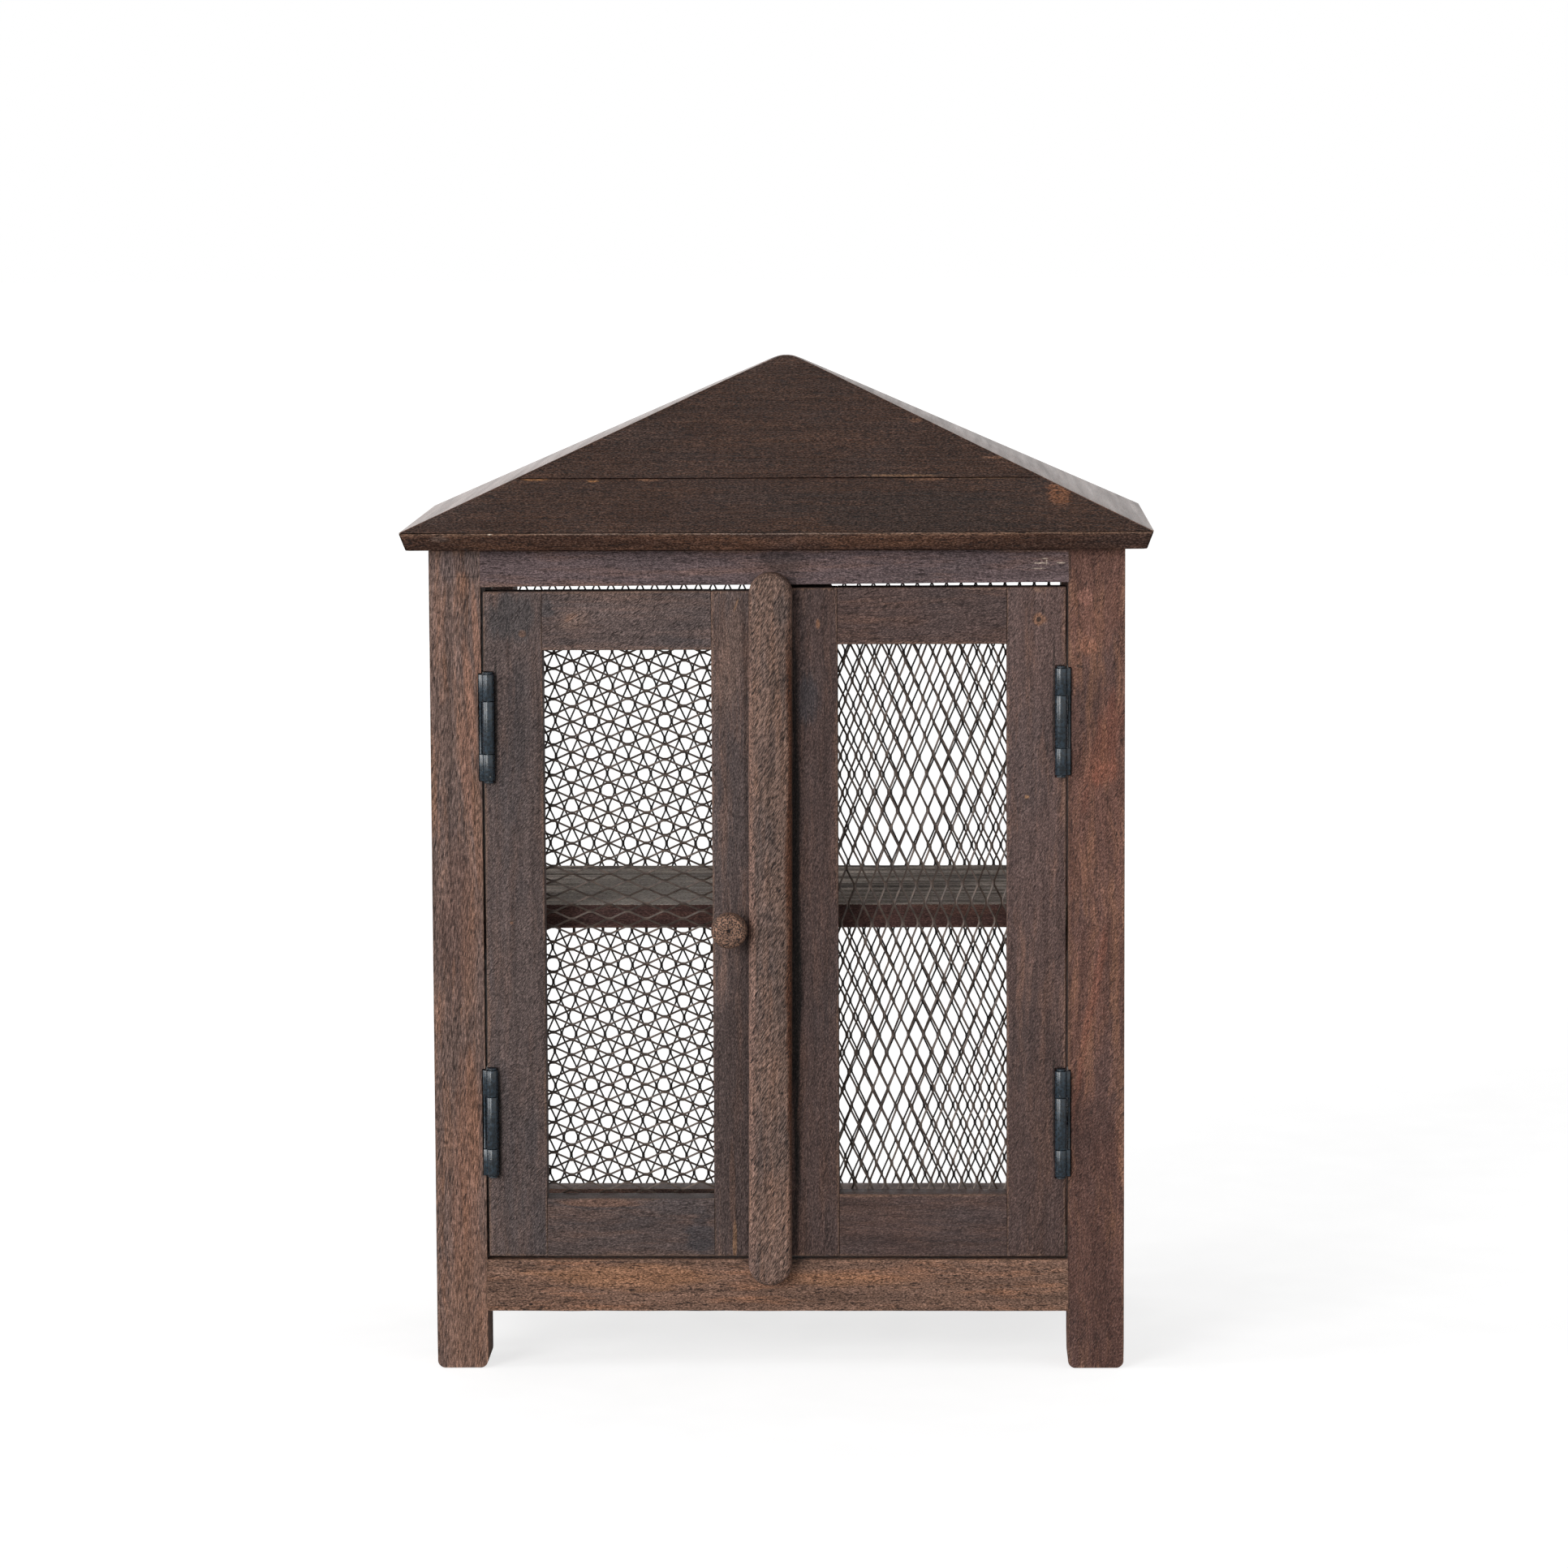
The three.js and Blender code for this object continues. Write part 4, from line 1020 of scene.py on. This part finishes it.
# A leaf's screws: the share of its height, the depth behind the board's face and how its slot is turned
LEAF_SCREWS = [
    (0.16, 5.4 * MM, math.radians(35)),
    (0.5, 8.6 * MM, math.radians(85)),
    (0.84, 5.4 * MM, math.radians(135)),
]


def make_leaf_screws(side, level, leaf, body, sizes, material):
    """Three staggered screws in one leaf, on the face that looks across the gap between door and post."""
    node = f"{side}_{level}_hinge_{leaf}_leaf"
    low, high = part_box(node)
    inward = 1 if side == "left" else -1
    facing = inward if leaf == "frame" else -inward
    board_low, board_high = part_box(f"front_{side}_post" if leaf == "frame" else f"{side}_door_hinge_stile")
    surface = (board_high if facing > 0 else board_low).x + facing * sizes.screw_proud
    turn = Matrix.Rotation(math.pi / 2 * facing, 4, "Y")
    model = make_screw(sizes)
    copies = []
    for share, depth, slot_turn in LEAF_SCREWS:
        place = Vector((surface, board_low.y + depth, low.z + (high.z - low.z) * share))
        slot = Matrix.Rotation(slot_turn, 4, "Z")
        copies.append(copy_at(model, Matrix.Translation(place) @ turn @ slot))
    bpy.data.objects.remove(model)
    return finish_piece(join(copies, node + "_screws"), body, "hinge_steel", material)


def stain_property(name, description, hex_colour):
    return bpy.props.FloatVectorProperty(
        name=name, description=description, default=linear(hex_colour), subtype="COLOR", size=4,
        min=0.0, max=1.0)


def length_property(name, description, millimetres):
    return bpy.props.FloatProperty(
        name=name, description=description, default=millimetres * MM, min=0.0, precision=5, unit="LENGTH")


def angle_property(name, description, degrees):
    return bpy.props.FloatProperty(
        name=name, description=description, default=math.radians(degrees), subtype="ANGLE")


class PieSafeSizes(bpy.types.PropertyGroup):
    """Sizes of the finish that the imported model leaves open."""

    edge_rounding: length_property("Edge rounding", "Radius of a sawn edge of full rounding", 1.0)
    edge_wander: length_property("Edge wander", "How uneven the edges are", 1.0)
    loop_spacing: length_property("Loop spacing", "Distance between the cuts along a long edge", 12.0)
    strand_thickness: length_property("Strand thickness", "Thickness of a steel strand", 0.42)
    strand_tilt: angle_property("Strand tilt", "How far a strand leans out of the net", 24)
    bond_spread: length_property("Bond spread", "Distance between the two strands of a bond", 0.5)
    bond_length: length_property("Bond length", "How long two strands run together", 1.8)
    staple_crown: length_property("Staple crown", "Length of a staple's crown", 8.5)
    staple_wire: length_property("Staple wire", "Thickness of a staple's wire", 0.6)
    staple_leg: length_property("Staple leg", "How deep a staple's leg reaches", 3.0)
    staple_inset: length_property("Staple inset", "Distance of a staple from the net's edge", 4.0)
    staple_spacing: length_property("Staple spacing", "Distance between staples", 55.0)
    staple_lean: angle_property("Staple lean", "How far a staple may stand out of line", 17)
    screw_radius: length_property("Screw head radius", "Radius of a hinge screw's head", 2.3)
    screw_slot: length_property("Screw slot", "Width of a hinge screw's slot", 0.6)
    screw_proud: length_property("Screw height", "How far a hinge screw stands out of its leaf", 0.12)
    batten_width: length_property("Batten width", "Width of the cover batten", 21.0)
    batten_rounding: length_property("Batten rounding", "Radius of the batten's front edges", 3.0)
    batten_lean: angle_property("Batten lean", "How far the batten leans to the right at its top", 0.3)


class PieSafeColours(bpy.types.PropertyGroup):
    """Colours of the stains, the bare wood, the metal and the floor."""

    left_post: stain_property("Left post", "Stain of the front left post", "#6e5850")
    right_post: stain_property("Right post", "Stain of the front right post", "#66463c")
    hidden_frame: stain_property("Sides and back", "Stain of the other posts and rails", "#5f4a43")
    top_rail: stain_property("Top rail", "Stain of the front top rail", "#635354")
    bottom_rail: stain_property("Bottom rail", "Stain of the front bottom rail", "#775a4b")
    left_door: stain_property("Left door", "Stain of the left door", "#574946")
    right_door: stain_property("Right door", "Stain of the right door", "#513f3b")
    roof: stain_property("Roof", "Stain of the roof and the eaves", "#3b2419")
    shelf: stain_property("Shelf", "Stain of the inside boards", "#baaea4")
    shelf_edge: stain_property("Shelf edge", "Stain of the shelf's front edge", "#4c3430")
    batten: stain_property("Batten", "Stain of the cover batten", "#71594e")
    knob: stain_property("Knob", "End grain of the knob", "#97735f")
    rubbed: stain_property("Rubbed wood", "Wood where the stain was rubbed off", "#96694f")
    slate: stain_property("Slate patches", "Stain where it lay thick", "#403d40")
    worn: stain_property("Worn edges", "Bare wood at worn edges", "#8f6f5b")
    pore: stain_property("Pores", "Stain in the pores", "#241b19")
    fleck: stain_property("Flecks", "Short flecks that catch the light", "#8f8179")
    lacquer: stain_property("Hinge lacquer", "Black lacquer of the hinges", "#121a20")
    front_mesh: stain_property("Door mesh", "Oiled steel of the door mesh", "#382e29")
    # The back and side mesh is the door mesh's steel in darker colours: painted shade
    back_mesh: stain_property("Back mesh", "Oiled steel of the back and side mesh", "#2a2523")
    floor: stain_property("Floor", "Colour of the studio floor", "#fbfbfb")


def make_boards(context, boards, seed, seed_step):
    """Makes a group of boards, each with a figure of its own."""
    sizes, colours = context.scene.pie_safe_sizes, context.scene.pie_safe_colours
    for index, board in enumerate(boards):
        piece = make_board(board, sizes, colours, seed + seed_step * index)
        if board.node == "shelf":
            stain_shelf_edge(piece, colours)
    return {"FINISHED"}


class PIESAFE_OT_posts_and_rails(bpy.types.Operator):
    """Build the four posts and the eight rails of the body"""

    bl_idname = "pie_safe.posts_and_rails"
    bl_label = "Posts and rails"

    def execute(self, context):
        return make_boards(context, POSTS_AND_RAILS, seed=10, seed_step=4.1)


class PIESAFE_OT_inside(bpy.types.Operator):
    """Build the shelf, its cleats, the floor, the ceiling and the door stop"""

    bl_idname = "pie_safe.inside"
    bl_label = "Inside boards"

    def execute(self, context):
        return make_boards(context, INSIDE_BOARDS, seed=80, seed_step=3.7)


class PIESAFE_OT_roof(bpy.types.Operator):
    """Build the roof boards and the eave boards"""

    bl_idname = "pie_safe.roof"
    bl_label = "Roof"

    def execute(self, context):
        return make_boards(context, ROOF_BOARDS, seed=130, seed_step=5.3)


class PIESAFE_OT_doors(bpy.types.Operator):
    """Build the stiles and rails of both doors"""

    bl_idname = "pie_safe.doors"
    bl_label = "Door frames"

    def execute(self, context):
        return make_boards(context, DOOR_BOARDS, seed=200, seed_step=4.7)


class PIESAFE_OT_batten_and_knob(bpy.types.Operator):
    """Build the cover batten of the meeting line and the turned knob"""

    bl_idname = "pie_safe.batten_and_knob"
    bl_label = "Batten and knob"

    def execute(self, context):
        make_batten(context.scene.pie_safe_sizes, context.scene.pie_safe_colours, seed=250)
        make_knob(context.scene.pie_safe_colours)
        return {"FINISHED"}


class PIESAFE_OT_wire_mesh(bpy.types.Operator):
    """Build the five panels of expanded steel and their staples"""

    bl_idname = "pie_safe.wire_mesh"
    bl_label = "Wire mesh"

    def execute(self, context):
        sizes, colours = context.scene.pie_safe_sizes, context.scene.pie_safe_colours
        front = mesh_steel("Expanded mild steel, handled", colours.front_mesh, linear("#5c4e45"))
        # The same steel in darker colours for the back and sides: painted shade inside the cabinet
        back = mesh_steel("Expanded mild steel, oiled", colours.back_mesh, linear("#3b3430"))
        wire = mesh_steel("Staple wire, dull zinc", linear("#6f6b66"), linear("#8d8983"))
        for plan in NETS:
            make_net(plan, sizes, front if "door" in plan.node else back)
            outward = -1 if plan.node.startswith("right_side") else 1
            make_staples(plan, sizes, wire, outward)
        return {"FINISHED"}


class PIESAFE_OT_hinges(bpy.types.Operator):
    """Build the leaves and screws of the four butt hinges, and finish the pins and the knob's screw"""

    bl_idname = "pie_safe.hinges"
    bl_label = "Hinges"

    def execute(self, context):
        material = lacquered_steel(context.scene.pie_safe_colours)
        for side in ("left", "right"):
            for level in ("upper", "lower"):
                for leaf, body in (("frame", "cabinet"), ("door", f"{side}_door")):
                    make_hinge_leaf(f"{side}_{level}_hinge_{leaf}_leaf", body, material)
                    make_leaf_screws(side, level, leaf, body, context.scene.pie_safe_sizes, material)
        for name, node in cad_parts.items():
            if name.endswith("_hinge_pin") or name == "knob_screw":
                node.data.materials.clear()
                node.data.materials.append(material)
        return {"FINISHED"}


class PIESAFE_OT_stage(bpy.types.Operator):
    """Set up the floor, the soft studio light and the camera"""

    bl_idname = "pie_safe.stage"
    bl_label = "Stage"

    # The camera stands a little right of the middle and above the roof, and looks slightly down
    camera_place = Vector((70.6, -2788.15, 590.6)) * MM
    camera_yaw = math.radians(1.431)
    camera_pitch = math.radians(6.506)
    camera_roll = math.radians(-0.277)
    focal_pixels = 7063
    picture_pixels = 1932
    sensor_width = 36.0
    floor_size = 40

    # Each lamp's direction, how far its light is spread, in degrees, and its strength
    lamps = {
        "Key": ((0.52, 0.82, -0.24), 28, 1.85),
        "Fill": ((-0.65, 0.7, -0.3), 60, 0.25),
        "Side": ((0.95, 0.22, -0.2), 25, 1.2),
        "Back": ((0.25, -0.85, -0.45), 40, 0.3),
    }
    sky_strength = 0.38
    # How much light the floor gives back to the camera and to the pie safe, and how much it glows
    floor_seen_share = 0.5
    floor_bounce_share = 0.8
    floor_glow = 0.77

    def execute(self, context):
        self.add_floor(context.scene.pie_safe_colours.floor)
        self.add_world(context.scene)
        for name, (direction, spread, strength) in self.lamps.items():
            self.add_sun(name, Vector(direction), math.radians(spread), strength)
        self.add_camera(context.scene)
        context.scene.view_settings.view_transform = "Standard"
        return {"FINISHED"}

    def add_floor(self, colour):
        """Matt paper that glows a little, so that it meets the white background and still takes a shadow."""
        bpy.ops.mesh.primitive_plane_add(size=self.floor_size, location=(0, 0, 0))
        floor = bpy.context.object
        floor.name = "studio_floor"
        material, tree, own = new_material("Matt paper, white")
        mottle = figure(tree, own, 30, 30, 1.0, 2)
        paper = shade(tree, colour, mottle, NOISE_SPAN, (0.98, 1.0))
        seen = add(tree, "LightPath").outputs["Is Camera Ray"]
        matt = shade(tree, paper, seen, (0.0, 1.0), (self.floor_bounce_share, self.floor_seen_share))
        glow = add(tree, "MapRange", {"Value": seen, "To Min": 0.0, "To Max": self.floor_glow})
        glow = add(tree, "Emission", {"Color": paper, "Strength": glow})
        both = add(tree, "AddShader", {0: add(tree, "BsdfDiffuse", {"Color": matt}), 1: glow})
        add(tree, "OutputMaterial", {"Surface": both})
        floor.data.materials.append(material)

    def add_world(self, scene):
        """White where it is seen or mirrored, and a soft sky for the light."""
        world = bpy.data.worlds.new("Studio")
        scene.world = world
        world.use_nodes = True
        tree = world.node_tree
        tree.nodes.clear()
        path = add(tree, "LightPath")
        seen = {0: path.outputs["Is Camera Ray"], 1: path.outputs["Is Glossy Ray"]}
        seen = add(tree, "Math", seen, operation="MAXIMUM")
        seen = add(tree, "Math", {0: seen, 1: path.outputs["Is Transmission Ray"]}, operation="MAXIMUM")
        strength = add(tree, "MapRange", {"Value": seen, "To Min": self.sky_strength, "To Max": 1.0})
        glow = add(tree, "Background", {"Color": (1, 1, 1, 1), "Strength": strength})
        add(tree, "OutputWorld", {"Surface": glow})

    def add_sun(self, name, direction, spread, strength):
        """A soft lamp that is the same all over the floor."""
        bpy.ops.object.light_add(type="SUN", location=-direction)
        lamp = bpy.context.object
        lamp.name = name
        lamp.data.angle = spread
        lamp.data.energy = strength
        lamp.rotation_euler = direction.to_track_quat("-Z", "Y").to_euler()

    def add_camera(self, scene):
        yaw = Matrix.Rotation(self.camera_yaw, 4, "Z")
        pitch = Matrix.Rotation(math.pi / 2 - self.camera_pitch, 4, "X")
        roll = Matrix.Rotation(self.camera_roll, 4, "Z")
        camera = bpy.data.objects.new("Camera", bpy.data.cameras.new("Camera"))
        scene.collection.objects.link(camera)
        camera.matrix_world = Matrix.Translation(self.camera_place) @ yaw @ pitch @ roll
        camera.data.sensor_width = self.sensor_width
        camera.data.lens = self.focal_pixels / self.picture_pixels * self.sensor_width
        scene.camera = camera


OPERATORS = (
    PIESAFE_OT_posts_and_rails,
    PIESAFE_OT_inside,
    PIESAFE_OT_roof,
    PIESAFE_OT_doors,
    PIESAFE_OT_batten_and_knob,
    PIESAFE_OT_wire_mesh,
    PIESAFE_OT_hinges,
    PIESAFE_OT_stage,
)


class PIESAFE_PT_panel(bpy.types.Panel):
    """Lists the steps that build the pie safe"""

    bl_label = "Pie safe"
    bl_idname = "PIESAFE_PT_panel"
    bl_space_type = "VIEW_3D"
    bl_region_type = "UI"
    bl_category = "Pie safe"

    def draw(self, context):
        for operator in OPERATORS:
            self.layout.operator(operator.bl_idname)
        for settings in (context.scene.pie_safe_sizes, context.scene.pie_safe_colours):
            for name in settings.__annotations__:
                self.layout.prop(settings, name)


CLASSES = (PieSafeSizes, PieSafeColours, *OPERATORS, PIESAFE_PT_panel)


def register():
    for cls in CLASSES:
        bpy.utils.register_class(cls)
    bpy.types.Scene.pie_safe_sizes = bpy.props.PointerProperty(type=PieSafeSizes)
    bpy.types.Scene.pie_safe_colours = bpy.props.PointerProperty(type=PieSafeColours)


def unregister():
    del bpy.types.Scene.pie_safe_colours
    del bpy.types.Scene.pie_safe_sizes
    for cls in reversed(CLASSES):
        bpy.utils.unregister_class(cls)


def main():
    register()
    for operator in OPERATORS:
        group, name = operator.bl_idname.split(".")
        getattr(getattr(bpy.ops, group), name)()


if __name__ == "__main__":
    main()
